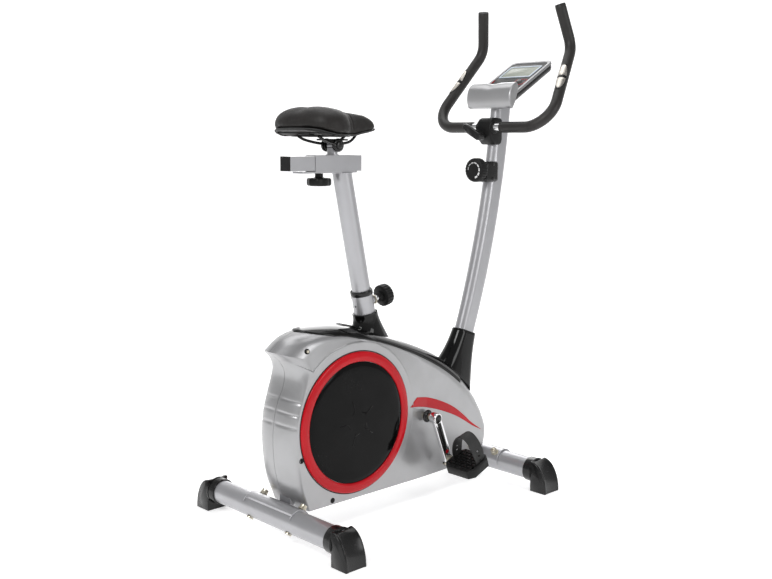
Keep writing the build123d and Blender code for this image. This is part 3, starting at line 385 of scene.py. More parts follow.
SILVER_PAINT = material("silver_lacquer", grey(0.40, 0.014), grey(0.42, 0.016), (0.31, 0.35), metallic=0.60,
                        coat=0.15, coat_rough=0.10, fine=900, grain=0.02, grain_size=0.0001)
SILVER_PLASTIC = material("silver_plastic", grey(0.365, 0.005), grey(0.385, 0.007), (0.31, 0.35), metallic=0.65,
                          coat=0.15, coat_rough=0.12, fine=900, grain=0.02, grain_size=0.0001)
GLOSS_BLACK = material("gloss_black", grey(0.003), grey(0.005), (0.06, 0.09), fine=240, grain=0.01,
                       grain_size=0.0002, specular=0.28)
DISC_BLACK = material("disc_black", grey(0.002), grey(0.004), (0.07, 0.10), fine=240, grain=0.01,
                      grain_size=0.0002, specular=0.10)
RED_GLOSS = material("red_gloss", (0.43, 0.002, 0.008), (0.48, 0.003, 0.010), (0.20, 0.26), coat=0.08,
                     coat_rough=0.06, fine=500, grain=0.02, specular=0.2)
BLACK_PLASTIC = material("black_plastic", grey(0.004), grey(0.008), (0.36, 0.48), fine=1600, grain=0.25,
                         grain_size=0.00015, specular=0.22)
SMOOTH_BLACK = material("smooth_black_plastic", grey(0.007), grey(0.010), (0.20, 0.28), coat=0.1,
                        fine=900, grain=0.08, grain_size=0.00015, specular=0.3)
# Near-black that stands in for shade: painted shade in the gap beside the red ring, in the screw recesses and in the
# seat tube's hole.
PAINTED_SHADE = material("painted_shade_black", grey(0.004), grey(0.007), (0.6, 0.75), fine=600, grain=0.1, specular=0.2)
ZINC = material("zinc_plate", (0.50, 0.46, 0.36), (0.62, 0.58, 0.48), (0.26, 0.40), metallic=0.95, patch=90,
                fine=1400, grain=0.15, grain_size=0.0001)
CHROME = material("chrome", grey(0.72, 0.01), grey(0.78, 0.01), (0.06, 0.12), metallic=1.0, fine=700, grain=0.02)
STEEL = material("brushed_steel", (0.50, 0.47, 0.43), (0.62, 0.59, 0.54), (0.24, 0.36), metallic=1.0, patch=60,
                 fine=260, stretch=(1, 1, 9), grain=0.08, grain_size=0.0001)
IRON = material("cast_iron", grey(0.10), grey(0.16), (0.45, 0.60), metallic=0.9, fine=900, grain=0.3)
RUBBER = material("rubber", grey(0.010), grey(0.018), (0.55, 0.70), fine=1500, grain=0.3, grain_size=0.0002)
FOAM = material("closed_cell_foam", (0.009, 0.008, 0.007), (0.014, 0.012, 0.011), (0.42, 0.52), patch=70,
                fine=1500, grain=0.25, grain_size=0.0003, cells=900, specular=0.45)
VINYL = material("grained_vinyl", (0.010, 0.009, 0.008), (0.015, 0.013, 0.012), (0.48, 0.58), patch=26, fine=2600,
                 grain=0.35, grain_size=0.0003, cells=620, specular=0.28)
DISPLAY = material("lcd_glass", (0.24, 0.26, 0.21), (0.27, 0.29, 0.24), (0.30, 0.38), patch=9, coat=0.05,
                   coat_rough=0.05, fine=400, grain=0.01)
DISPLAY_RIM = material("lcd_rim", (0.42, 0.48, 0.55), (0.46, 0.52, 0.59), (0.3, 0.4), metallic=0.3, fine=1200,
                       grain=0.05)
PANEL = material("charcoal_panel", grey(0.022), grey(0.029), (0.34, 0.44), fine=1900, grain=0.2,
                 grain_size=0.0001, specular=0.3)
PRINT_WHITE = material("pale_print", grey(0.62), grey(0.70), (0.4, 0.5), fine=1500, grain=0.05)
BUTTON_GREY = material("grey_button", grey(0.10), grey(0.14), (0.4, 0.5), fine=1500, grain=0.2)

CAD_FINISH = {
    "silver_paint": SILVER_PAINT, "silver_plastic": SILVER_PLASTIC, "gloss_black": GLOSS_BLACK,
    "red_gloss": RED_GLOSS, "black_plastic": BLACK_PLASTIC, "zinc": ZINC, "chrome": CHROME,
    "cast_iron": IRON, "rubber": RUBBER, "foam": FOAM, "vinyl": VINYL, "sensor_steel": STEEL,
    "display": DISPLAY, "grey_button": BUTTON_GREY,
}


def dress_cad():
    """Every CAD node in the record gets a finish, and five of them (the slider parts, the saddle clamp and the frame
    bolts) a small round on their hard edges.
    """
    for part in frame["record"]["subparts"]:
        obj = NODES[part["node"]]
        finish = CAD_FINISH[part["material_slot"]]
        if obj.material_slots:
            for place in obj.material_slots:
                place.material = finish
        else:
            obj.data.materials.append(finish)
    for name in ("slider_sleeve", "slider_tube", "slider_end_caps", "saddle_clamp", "frame_bolts"):
        bevel(NODES[name], 0.9, 3, 40)


# --- casing --------------------------------------------------------------------

SEAM_RUNS = [
    [(-419, 64), (-456, 137), (-468, 240), (-457, 319), (-435, 369), (-431, 400), (-446, 431), (-477, 458)],
    [(-477, 458), (-440, 484), (-397, 498), (-330, 502), (-250, 494), (20, 401), (111, 355), (190, 291), (236, 238)],
    [(236, 238), (264, 190), (281, 140), (274, 95), (238, 61)],
]
SIDE_RUNS = [
    [(-410, 64), (-430, 130), (-441, 200), (-444, 259), (-438, 310), (-416, 372), (-398, 402), (-405, 436)],
    [(-405, 436), (-395, 448), (-372, 462), (-330, 470), (-270, 469), (-118, 427), (45, 342), (151, 265), (205, 208)],
    [(205, 208), (234, 172), (250, 138), (242, 95), (210, 61)],
]
RUN_SAMPLES = (190, 130, 50)
BOTTOM_SAMPLES = 50
RIB_HEIGHTS = (342.0, 312.0, 282.0)
RIM_R = 204.0
RIM_STEP = 3.2
COVER_RISE = 4.0


def outline(runs):
    """The closed outline through the runs, with a straight bottom. Gives points and run numbers."""
    points, marks = [], []
    for number, (run, count) in enumerate(zip(runs, RUN_SAMPLES)):
        curve = spline([(x, 0, z) for x, z in run], count)
        points += curve[:-1]
        marks += [number] * (count - 1)
    end, start = Vector((runs[-1][-1][0], 0, runs[-1][-1][1])), Vector((runs[0][0][0], 0, runs[0][0][1]))
    points += [end.lerp(start, i / BOTTOM_SAMPLES) for i in range(BOTTOM_SAMPLES)]
    marks += [3] * BOTTOM_SAMPLES
    return points, marks


SEAM, RUN_OF = outline(SEAM_RUNS)
SIDE, _ = outline(SIDE_RUNS)


def half_width(x):
    """Half the casing's width, which narrows towards the front."""
    return CASING_HALF - 13.0 * max((x - 40.0) / 260.0, 0.0) ** 1.6


def recess(x, z):
    """How far the flank's panel falls away outside the flat rim round the disc."""
    dx, dz = x - WHEEL.x, z - WHEEL.z
    distance, angle = math.hypot(dx, dz), math.atan2(dz, dx)
    sector = smoothstep(-0.75, -0.30, angle) if angle < 1.2 else 1.0 - smoothstep(2.3, 2.9, angle)
    fall = min(0.13 * max(distance - RIM_R, 0.0), 8.0)
    return (RIM_STEP * smoothstep(RIM_R - 1.0, RIM_R + 1.0, distance) + fall) * sector


def flank_y(x, z):
    """How far out the flank stands at one place."""
    return half_width(x) - recess(x, z)


def rear_ribs(point, across):
    """Depth of the three grooves across the rear face."""
    fade = smoothstep(0.03, 0.12, across) * (1.0 - smoothstep(0.70, 0.95, across))
    slope = 7.0 * across
    return sum(2.2 * math.exp(-((point.z - z + slope) / 2.8) ** 2) for z in RIB_HEIGHTS) * fade


def outward(points, i):
    """Direction out of a closed outline at one of its points, in X and Z."""
    before, after = points[i - 1], points[(i + 1) % len(points)]
    d = (after - before).normalized()
    return Vector((-d.z, 0, d.x))


def casing_point(i, across, rise=0.0):
    """Point on the shoulder of the casing. across goes from 0 at the seam to 1 at the flank."""
    theta = across * math.pi / 2
    share = 1 - math.cos(theta)
    p = SEAM[i].lerp(SIDE[i], share)
    if RUN_OF[i] == 0:
        p = p - outward(SEAM, i) * rear_ribs(p, across)
    wide = half_width(p.x) - recess(SIDE[i].x, SIDE[i].z)
    if rise:
        normal = outward(SEAM, i) * math.cos(theta) + Vector((0, 1, 0)) * math.sin(theta)
        return Vector((p.x, wide * math.sin(theta), p.z)) + normal * rise
    return Vector((p.x, wide * math.sin(theta), p.z))


def casing_shell(side_name):
    side = SIDES[side_name]
    count = len(SEAM)
    rings = []
    lip = [casing_point(i, 0.0) - outward(SEAM, i) * 1.6 + Vector((0, 0.25, 0)) for i in range(count)]
    rings.append(lip)
    rings.append([casing_point(i, 0.0) - outward(SEAM, i) * 0.25 + Vector((0, 0.45, 0)) for i in range(count)])
    steps = 22
    for k in range(1, steps + 1):
        across = 0.015 + 0.985 * k / steps
        rings.append([casing_point(i, across) for i in range(count)])
    radii = [1.0, 0.93, 0.84, 0.74, 0.64, 0.54, 0.44, 0.34, 0.25, 0.18, 0.12]
    near = [209.0, 206.0, 204.8, 203.6, 202.4, 200.0, 190.0, 180.0]
    for share in radii[1:]:
        ring = []
        for p in SIDE:
            angle = math.atan2(p.z - WHEEL.z, p.x - WHEEL.x)
            reach = math.hypot(p.z - WHEEL.z, p.x - WHEEL.x)
            start = min(209.0, 180 + (reach - 180) * 0.86)
            r = start + (reach - start) * share
            x, z = WHEEL.x + r * math.cos(angle), WHEEL.z + r * math.sin(angle)
            ring.append(Vector((x, flank_y(x, z), z)))
        rings.append(ring)
    for nominal in near:
        ring = []
        for p in SIDE:
            angle = math.atan2(p.z - WHEEL.z, p.x - WHEEL.x)
            reach = math.hypot(p.z - WHEEL.z, p.x - WHEEL.x)
            start = min(209.0, 180 + (reach - 180) * 0.86)
            r = 180 + (start - 180) * (nominal - 180) / 29.0
            x, z = WHEEL.x + r * math.cos(angle), WHEEL.z + r * math.sin(angle)
            ring.append(Vector((x, flank_y(x, z), z)))
        rings.append(ring)
    for r in (150.0, 60.0):
        rings.append([
            Vector((WHEEL.x + r * math.cos(a), CASING_HALF, WHEEL.z + r * math.sin(a)))
            for a in (math.atan2(p.z - WHEEL.z, p.x - WHEEL.x) for p in SIDE)])
    rings = [[Vector((p.x, side * p.y, p.z)) for p in ring] for ring in rings]
    faces = rings_to_faces(len(rings), count)
    last = (len(rings) - 1) * count
    faces.append(tuple(range(last, last + count)))
    obj = new_mesh(f"casing_shell_{side_name}", [p for ring in rings for p in ring], faces)
    cap = max(obj.data.polygons, key=lambda poly: len(poly.vertices))
    if cap.normal.y * side < 0:
        obj.data.flip_normals()
    thicken(obj, 2.2)
    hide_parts(f"casing_{side_name}")
    return finish_piece(obj, "frame", SILVER_PLASTIC, 50)


def cover_reach(x):
    """Half the width of the cover strip at one X."""
    for (a, ya), (b, yb) in zip(COVER_PLAN, COVER_PLAN[1:]):
        if x <= b:
            return ya + (yb - ya) * max(x - a, 0) / (b - a)
    return COVER_PLAN[-1][1]


def top_cover():
    """Glossy strip over the casing's top edge, with a rounded tongue at the rear."""
    first = next(i for i in range(len(SEAM)) if RUN_OF[i] == 1 and SEAM[i].x > -404)
    last = max(i for i in range(len(SEAM)) if RUN_OF[i] == 1 and SEAM[i].x < 167)
    start_x = SEAM[first].x
    across_steps = 36
    rings = []
    for i in range(first, last + 1):
        x = SEAM[i].x
        tongue = math.sqrt(max(1 - max((start_x + 40 - x) / 40.0, 0.0) ** 2, 0.0))
        widest = math.asin(max(cover_reach(x) * tongue, 0.6) / 67.0)
        end_fall = smoothstep(0, 9, x - start_x)
        ring = []
        for k in range(across_steps + 1):
            share = 2.0 * k / across_steps - 1.0
            edge = 1.0 - abs(share) ** 14
            rise = 0.4 + (COVER_RISE - 0.8) * edge * end_fall
            p = casing_point(i, widest * abs(share) / (math.pi / 2), rise)
            ring.append(Vector((p.x, math.copysign(p.y, share), p.z)))
        rings.append(ring)
    obj = loft("top_cover_strip", rings, closed=False, caps=False)
    if sum(poly.normal.z for poly in obj.data.polygons) < 0:
        obj.data.flip_normals()
    thicken(obj, 2.4)
    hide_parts("top_cover")
    finish_piece(obj, "frame", GLOSS_BLACK, 60)


def flared_boot(name, node_name, rings, wall=2.4):
    obj = loft(name, rings, caps=False)
    thicken(obj, wall)
    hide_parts(node_name)
    return finish_piece(obj, "frame", GLOSS_BLACK, 50)


def lean_axis():
    return Vector((-math.sin(SEAT_LEAN), 0, math.cos(SEAT_LEAN)))


def seat_boot():
    """Boot round the seat tube: a plain neck that flares on to the cover."""
    up = lean_axis()
    fore = Vector((up.z, 0, -up.x))
    top = SEAT_TUBE_TOP - up * 56
    base = Vector((-148, 0, 450))
    base_fore = Vector((0.95, 0, -0.32))
    rings = []
    levels = [(-0.012, 28.6), (0.0, 31.8), (0.012, 33.0), (0.10, 33.0)]
    for share, radius in levels:
        centre = top.lerp(base, share)
        rings.append([
            centre + (fore * math.cos(a) + Vector((0, 1, 0)) * math.sin(a)) * radius
            for a in (2 * math.pi * j / 72 for j in range(72))])
    for k in range(1, 25):
        t = k / 24
        bend = t ** 1.75
        centre = top.lerp(base, 0.10 + 0.90 * t)
        direction = fore.lerp(base_fore, t).normalized()
        rings.append([
            centre + direction * math.cos(a) * (33.0 + 41.0 * bend)
            + Vector((0, 1, 0)) * math.sin(a) * (33.0 + 9.0 * bend)
            for a in (2 * math.pi * j / 72 for j in range(72))])
    flared_boot("seat_boot", "seat_tube_boot", rings)
    i = min(range(len(SEAM)), key=lambda j: abs(SEAM[j].x + 214) if RUN_OF[j] == 1 else 999)
    flap = []
    for k in range(13):
        p = SEAM[i + k - 6]
        width = 17.0 * math.sqrt(max(1 - ((k - 6) / 6.4) ** 2, 0.0)) + 2
        out = outward(SEAM, i + k - 6)
        flap.append([
            p + out * (COVER_RISE + 1.8 - 1.6 * (abs(y) / 19.0) ** 3) + Vector((0, y, 0))
            for y in (width * (2 * j / 10 - 1) for j in range(11))])
    piece = loft("cover_flap", flap, closed=False, caps=False)
    thicken(piece, 2.0, 0.0)
    finish_piece(piece, "frame", GLOSS_BLACK, 50)


def slot_ring(centre, fore, length, width, count=72):
    """Flat-oval ring of points."""
    straight = max((length - width) / 2, 0.0)
    ring = []
    for j in range(count):
        a = 2 * math.pi * (j + 0.5) / count
        shift = straight if math.cos(a) > 0 else -straight
        ring.append(centre + fore * (shift + width / 2 * math.cos(a)) + Vector((0, 1, 0)) * (width / 2) * math.sin(a))
    return ring


def post_boot():
    """Boot round the foot of the front post."""
    start, mid, end = Vector((217, 0, 424)), Vector((307, 0, 735)), Vector((358, 0, 1055))
    down = arc_tangent(start, mid, end)
    fore = Vector((down.z, 0, -down.x))
    base = Vector((168, 0, 296))
    base_fore = Vector((0.755, 0, -0.656))
    rings = [
        slot_ring(start + down * 0.6, fore, 67, 41), slot_ring(start + down * 1.0, fore, 75, 47),
        slot_ring(start - down * 0.6, fore, 78, 50), slot_ring(start - down * 8.0, fore, 78.6, 50.6)]
    for k in range(1, 21):
        t = k / 20
        bend = 0.35 * t + 0.65 * t ** 2.0
        centre = (start - down * 8).lerp(base, t)
        direction = fore.lerp(base_fore, t ** 1.4).normalized()
        rings.append(slot_ring(centre, direction, 78.6 + 70.0 * bend, 50.6 + 30.0 * bend))
    flared_boot("post_boot", "front_post_boot", rings)


def arc_tangent(start, mid, end):
    """Direction of a circular arc at its start."""
    a, b = mid - start, end - start
    normal = a.cross(b)
    offset = normal.cross(a) * b.length_squared + b.cross(normal) * a.length_squared
    centre = start + offset / (2 * normal.length_squared)
    tangent = normal.cross(start - centre).normalized()
    return tangent if tangent.dot(a) > 0 else -tangent


def disc_and_ring(side_name):
    side = SIDES[side_name]
    out = (0, side, 0)
    dome = [(154.6, 70.5), (154.6, 72.8), (153.0, 73.6), (148.0, 74.3)]
    steps = [math.radians(9 * k) for k in range(1, 10)]
    dome += [(148.0 * math.cos(a), 74.3 + 3.4 * math.sin(a)) for a in steps]
    dome += [(2.0, 77.7)]
    disc = lathe(f"disc_{side_name}", dome, WHEEL, out, 160, caps=True)
    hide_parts(f"disc_cover_{side_name}")
    finish_piece(disc, "frame", DISC_BLACK, 50)
    band = [(155.2, 70.6), (155.2, 73.8), (156.0, 75.0), (157.6, 75.7), (161.0, 76.6), (166.0, 77.0), (171.0, 76.6),
            (173.0, 75.9), (174.0, 75.9), (177.0, 75.2), (179.2, 73.9), (180.0, 72.2), (180.0, 70.2)]
    ring = lathe(f"ring_{side_name}", band, WHEEL, out, 160)
    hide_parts(f"disc_ring_{side_name}")
    finish_piece(ring, "frame", RED_GLOSS, 50)
    # Dark strip laid in the groove between the red ring and the flank: painted shade in the gap.
    groove = [(180.2, 69.6), (180.4, 70.3), (182.6, 70.35), (182.9, 69.6)]
    gap = lathe(f"ring_seam_shade_{side_name}", groove, WHEEL, out, 160)
    finish_piece(gap, "frame", PAINTED_SHADE, 50)
    blades = []
    for k in range(5):
        angle = math.radians(90 + 72 * k + 18)
        tip = Vector((math.cos(angle), 0, math.sin(angle)))
        turn = Vector((-math.sin(angle), 0, math.cos(angle)))
        outline_2d = [(26, -1.2), (60, -1.6), (60, 1.6), (36, 1.2), (26, 13.0), (23.5, 12.0), (31, 1.0)]
        base = WHEEL + Vector((0, side * 77.1, 0))
        ring_a = [base + tip * x + turn * y for x, y in outline_2d]
        ring_b = [p + Vector((0, side * 0.9, 0)) for p in ring_a]
        blades.append(bevel(loft("blade", [ring_a, ring_b]), 0.3, 2))
    finish_piece(joined(f"disc_relief_{side_name}", blades), "frame", DISC_BLACK)


def swoosh(side_name):
    """Red stripe on the flank, from the disc to the front edge."""
    side = SIDES[side_name]
    upper = [(-36, 284), (7, 276), (60, 257.5), (114, 231), (156, 202), (192, 173), (239, 142)]
    lower = [(-68, 263), (-18, 254.5), (47, 235.5), (114, 208.5), (160, 184), (200, 160), (239, 141)]
    upper, lower = (spline([(x, 0, z) for x, z in points], 90) for points in (upper, lower))
    rings = []
    for a, b in zip(upper, lower):
        ring = []
        for k in range(17):
            p = a.lerp(b, k / 16)
            ring.append(Vector((p.x, side * (flank_y(p.x, p.z) + 0.35), p.z)))
        rings.append(ring)
    obj = loft(f"flank_stripe_{side_name}", rings, closed=False, caps=False)
    thicken(obj, 0.5, 0.0)
    return finish_piece(obj, "frame", RED_GLOSS, 60)


def casing_screw_heads():
    """Recessed screws in the flanks, in painted shade: the dark colour stands for the shade in each recess and covers
    the screw heads too.
    """
    cups = []
    for x, z in CASING_SCREWS:
        y, normal = surface_at(x, z)
        for side in SIDES.values():
            out = Vector((normal.x, side * normal.y, normal.z))
            at = Vector((x, side * y, z)) - out * 0.6
            profile = [(7.0, 0.4), (6.8, 1.0), (6.2, 1.2), (5.4, 0.9), (4.2, 0.8), (3.8, 1.1), (1.4, 1.2),
                       (1.0, 0.8), (0.3, 0.8)]
            cups.append(lathe("cup", profile, at, out, 36, caps=True))
    finish_piece(joined("screw_recess_shade", cups), "frame", PAINTED_SHADE)


def surface_at(x, z):
    """The casing's height out from the middle, and its normal, nearest to one place on the flank."""
    best, found = 1e9, None
    for i in range(0, len(SEAM)):
        for k in range(4, 23):
            p = casing_point(i, k / 22)
            gap = math.hypot(p.x - x, p.z - z)
            if gap < best:
                best, found = gap, (i, k / 22)
    i, across = found
    if best > 6.0:
        return flank_y(x, z), Vector((0, 1, 0))
    p = casing_point(i, across)
    q, r = casing_point((i + 1) % len(SEAM), across), casing_point(i, max(across - 0.03, 0.0))
    normal = (q - p).cross(r - p).normalized()
    if normal.y < 0:
        normal = -normal
    return p.y, normal


def casing():
    for name in SIDES:
        casing_shell(name)
        disc_and_ring(name)
        swoosh(name)
    top_cover()
    seat_boot()
    post_boot()
    casing_screw_heads()


# --- crank and pedals ----------------------------------------------------------


def crank_end(side):
    """Pedal axis at the end of one crank arm."""
    reach = -side * CRANK_LENGTH
    return CRANK + Vector((reach * math.sin(CRANK_ANGLE), 0, -reach * math.cos(CRANK_ANGLE)))


def crank_arm(side_name):
    side = SIDES[side_name]
    end = crank_end(side)
    along = (end - CRANK).normalized()
    across = Vector((-along.z, 0, along.x))
    out = Vector((0, side, 0))
    pieces = []
    boss = lathe("boss", [(11.0, 88.6), (13.6, 88.9), (14.4, 90.0), (14.5, 106), (14.2, 109.5), (13.2, 110.8),
                          (11.3, 111.0), (11.0, 110.0)], CRANK, out, 56)
    pieces.append(boss)
    levels = [(0.86, 95.0), (0.96, 95.5), (1.0, 96.8), (1.0, 105.2), (0.96, 106.5), (0.88, 107.0)]
    rings = []
    for scale, y in levels:
        shrink = (1 - scale) * 14
        ring_2d = hull_outline((0, 0), 13.6 - shrink, (CRANK_LENGTH, 0), 12.4 - shrink, 18)
        ring = []
        for x, v in ring_2d:
            waist = 0.22 * math.sin(math.pi * min(max(x / CRANK_LENGTH, 0), 1)) ** 0.8
            ring.append(CRANK + along * x + across * (v * (1 - waist)) + out * y)
        rings.append(ring)
    pieces.append(loft("bar", rings))
    eye = [(9.0, 93.0), (12.4, 93.2), (13.0, 94.0), (13.0, 106.2), (12.2, 107.2), (7.0, 107.4), (6.2, 106.6)]
    pieces.append(lathe("end", eye, end, out, 48))
    arm = joined(f"crank_bar_{side_name}", pieces)
    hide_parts(f"crank_arm_{side_name}")
    finish_piece(arm, "crank_set", CHROME, 45)
    rings = []
    for shrink, y in ((0.0, 106.4), (0.0, 107.5), (0.5, 107.9)):
        ring_2d = hull_outline((19, 0), 6.8 - shrink, (CRANK_LENGTH - 18, 0), 5.4 - shrink, 12)
        rings.append([CRANK + along * x + across * v + out * y for x, v in ring_2d])
    finish_piece(loft(f"crank_inset_{side_name}", rings), "crank_set", SMOOTH_BLACK, 40)
    spot = CRANK + along * (CRANK_LENGTH - 24)
    dot = [(5.2, 107.4), (5.2, 108.3), (4.6, 108.5), (0.4, 108.5)]
    mark = lathe(f"crank_mark_{side_name}", dot, spot, out, 32, caps=True)
    finish_piece(mark, "crank_set", RED_GLOSS)


def crank_caps():
    caps = []
    for side in SIDES.values():
        profile = [(10.6, 105.6), (10.9, 110.6), (10.5, 112.2), (8.5, 113.3), (4.0, 113.9), (0.4, 114.0)]
        caps.append(lathe("cap", profile, CRANK, (0, side, 0), 48, caps=True))
    piece = joined("axle_caps", caps)
    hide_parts("crank_caps")
    finish_piece(piece, "crank_set", SMOOTH_BLACK)
    seals = []
    for side in SIDES.values():
        profile = [(10.0, 69.0), (17.0, 69.4), (17.0, 71.6), (15.6, 73.4), (13.4, 74.2), (12.6, 76.6),
                   (11.6, 77.4), (9.9, 77.2)]
        seals.append(lathe("seal", profile, CRANK, (0, side, 0), 56))
    piece = joined("axle_seals", seals)
    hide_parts("crank_collars")
    finish_piece(piece, "frame", SMOOTH_BLACK)


PEDAL_MIDDLE = 172.0
PEDAL_HALF_LONG = 42.0
PEDAL_HALF_WIDE = 50.0
PEDAL_CUT = 14.0
PEDAL_TILT = math.radians(22.0)


def pedal_frame(side):
    """Origin and directions of a pedal: fore, out and up, tilted."""
    end = crank_end(side)
    origin = Vector((end.x, side * PEDAL_MIDDLE, end.z))
    fore = Vector((math.cos(PEDAL_TILT), 0, math.sin(PEDAL_TILT)))
    up = Vector((-math.sin(PEDAL_TILT), 0, math.cos(PEDAL_TILT)))
    return origin, fore, Vector((0, side, 0)), up


def octagon(hx, hy, cut):
    return [(hx, hy - cut), (hx - cut, hy), (cut - hx, hy), (-hx, hy - cut),
            (-hx, cut - hy), (cut - hx, -hy), (hx - cut, -hy), (hx, cut - hy)]


def pedal(side_name):
    side = SIDES[side_name]
    origin, fore, out, up = pedal_frame(side)

    def place(points, height):
        return [origin + fore * x + out * y + up * height for x, y in points]

    outer = octagon(PEDAL_HALF_LONG, PEDAL_HALF_WIDE, PEDAL_CUT)
    inner = octagon(PEDAL_HALF_LONG - 7, PEDAL_HALF_WIDE - 7, PEDAL_CUT - 3)
    around = ((inner, -12), (outer, -12), (outer, 12), (inner, 12), (inner, -12))
    rim = loft("rim", [place(shape, height) for shape, height in around], caps=False)
    pieces = [bevel(rim, 1.4, 3, 30)]
    web = loft("web", [place(inner, -4.5), place(inner, 4.5)])
    pieces.append(web)
    tube = [(7, -46.5), (10.5, -46), (11.5, -44), (11.5, 44), (10.0, 46.8), (1, 47)]
    pieces.append(lathe("hub", tube, origin, out, 36, caps=True))
    for row in range(-3, 4):
        x = row * 10.6
        limit = PEDAL_HALF_WIDE - 8 - max(abs(x) - (PEDAL_HALF_LONG - PEDAL_CUT), 0)
        shift = 0 if row % 2 else 9.5
        for brick in range(-3, 4):
            y = brick * 19.0 + shift
            low, high = max(y - 8.2, -limit), min(y + 8.2, limit)
            if high - low < 5:
                continue
            box = [(x - 3.9, low), (x + 3.9, low), (x + 3.9, high), (x - 3.9, high)]
            pieces.append(bevel(loft("brick", [place(box, -13.4), place(box, 13.4)]), 0.9, 2, 30))
    body = joined(f"pedal_body_{side_name}", pieces)
    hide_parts(f"pedal_{side_name}")
    return finish_piece(body, f"{side_name}_pedal", BLACK_PLASTIC, 40)


def pedal_strap(side_name):
    """Toe strap: a moulded band over the pedal with slots for its pegs."""
    side = SIDES[side_name]
    end = crank_end(side)
    middle = Vector((end.x + 8, side * PEDAL_MIDDLE, end.z + 6))
    across, rise = Vector((0, side, 0)), Vector((-0.24, 0, 0.97))
    normal = Vector((0.97, 0, 0.24))
    half, height, band = 41.0, 78.5, 19.5
    start = -0.16
    columns = (-1.0, -0.55, -0.18, 0.18, 0.55, 1.0)
    rows = 61
    verts, faces = [], []
    for i in range(rows):
        angle = start + (math.pi - 2 * start) * i / (rows - 1)
        c, s = math.cos(angle), math.sin(angle)
        centre = middle + across * (half * c) + rise * (height * s if s > 0 else 60.0 * s)
        wide = band * (1.0 - 0.16 * math.exp(-((i - 4) / 4.0) ** 2) - 0.16 * math.exp(-((i - rows + 5) / 4.0) ** 2))
        for t in columns:
            verts.append(centre + normal * (wide * t))
    size = len(columns)
    holes = {(i, 2) for i in (5, 8, 11, rows - 7, rows - 10, rows - 13)}
    for i in range(rows - 1):
        for j in range(size - 1):
            if (i, j) not in holes:
                faces.append((i * size + j, i * size + j + 1, (i + 1) * size + j + 1, (i + 1) * size + j))
    strap = new_mesh(f"toe_strap_{side_name}", verts, faces)
    thicken(strap, 2.6, 0.0)
    bevel(strap, 0.7, 2, 40)
    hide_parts(f"pedal_strap_{side_name}")
    return finish_piece(strap, f"{side_name}_pedal", RUBBER, 40)


def cranks():
    for name in SIDES:
        crank_arm(name)
        pedal(name)
        pedal_strap(name)
    crank_caps()


# --- stabilizers and feet --------------------------------------------------------


def foot_cap(name, x, half_width, side):
    """D-shaped rubber foot cap with a bead along its curved edges and a collar."""
    inner = half_width - 53.0

    def profile(depth, height):
        return [(inner, 0.4)] + [(inner + depth, 0.4)] + [
            (inner + depth * math.cos(a), 0.4 + height * math.sin(a))
            for a in (math.pi / 2 * k / 20 for k in range(1, 21))]

    rings = []
    for along, depth, height in ((-31.6, 50.6, 81.0), (-30.2, 52.2, 82.8), (-27, 52.6, 83.4), (-25.4, 52.2, 82.9),
                                 (-22.5, 51.4, 82.0), (22.5, 51.4, 82.0), (25.4, 52.2, 82.9), (27, 52.6, 83.4),
                                 (30.2, 52.2, 82.8), (31.6, 50.6, 81.0)):
        rings.append([Vector((x + along, side * y, z)) for y, z in profile(depth, height)])
    pieces = [bevel(loft("cap", rings), 1.2, 3, 50)]
    collar = [(30.1, 26.8), (31.2, 27.2), (33.0, 26.6), (33.4, 25.0), (33.4, 3.0), (33.6, 0.0), (30.2, -1.0)]
    pieces.append(lathe("collar", collar, (x, side * inner, TUBE_Z), (0, -side, 0), 64))
    pieces.append(lathe("web", [(33.2, 6.0), (33.2, 0.0), (34.6, 0.0), (35.2, 2.2), (34.6, 4.6)],
                        (x, side * inner, TUBE_Z), (0, -side, 0), 64))
    cap = joined(f"foot_{name}", pieces)
    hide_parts(name)
    return finish_piece(cap, "frame", SMOOTH_BLACK, 45)


def bracket_lips():
    """Folded edges and rolled rims on the saddle plates that hold the stabilizers."""
    pieces = []
    for x, half in ((REAR_X, 92.0), (FRONT_X, 106.0)):
        for end in (-1, 1):
            path = [
                Vector((x + 33.2 * math.cos(a), end * (half - 0.6), TUBE_Z + 33.2 * math.sin(a)))
                for a in (math.radians(-10 + 200 * k / 40) for k in range(41))]
            if x < 0:
                path = [p for p in path if p.x > x - 30]
            pieces.append(swept("lip", path, 1.3, 12))
    finish_piece(joined("bracket_rims", pieces), "frame", SILVER_PAINT)


def dome_nuts():
    """Domed nuts with washers over the carriage bolts' ends."""
    pieces = []
    tilt = math.radians(50.0)
    for x, y, sign in ((REAR_X, 76.0, 1), (FRONT_X, 90.0, -1)):
        out = Vector((sign * math.cos(tilt), 0, math.sin(tilt)))
        for side in SIDES.values():
            base = Vector((x, side * y, TUBE_Z)) + out * 34.0
            washer = [(4.2, 0.1), (10.6, 0.1), (10.8, 1.0), (10.4, 1.7), (4.2, 1.7)]
            pieces.append(lathe("washer", washer, base, out, 40))
            hexagon = [(8.6, 1.8), (9.2, 2.4), (9.2, 6.4), (8.2, 7.4)]
            pieces.append(lathe("hex", hexagon, base, out, 6, caps=True))
            dome = [(7.4, 7.2)] + [
                (7.4 * math.cos(math.radians(10 * k)), 8.0 + 5.6 * math.sin(math.radians(10 * k))) for k in range(9)]
            pieces.append(lathe("dome", dome, base, out, 36, caps=True))
    return pieces


def feet():
    for x, half, word in ((REAR_X, 298.0, "rear"), (FRONT_X, 279.0, "front")):
        for side_name, side in SIDES.items():
            foot_cap(f"{word}_foot_{side_name}", x, half, side)
    bracket_lips()


# --- knobs -----------------------------------------------------------------------


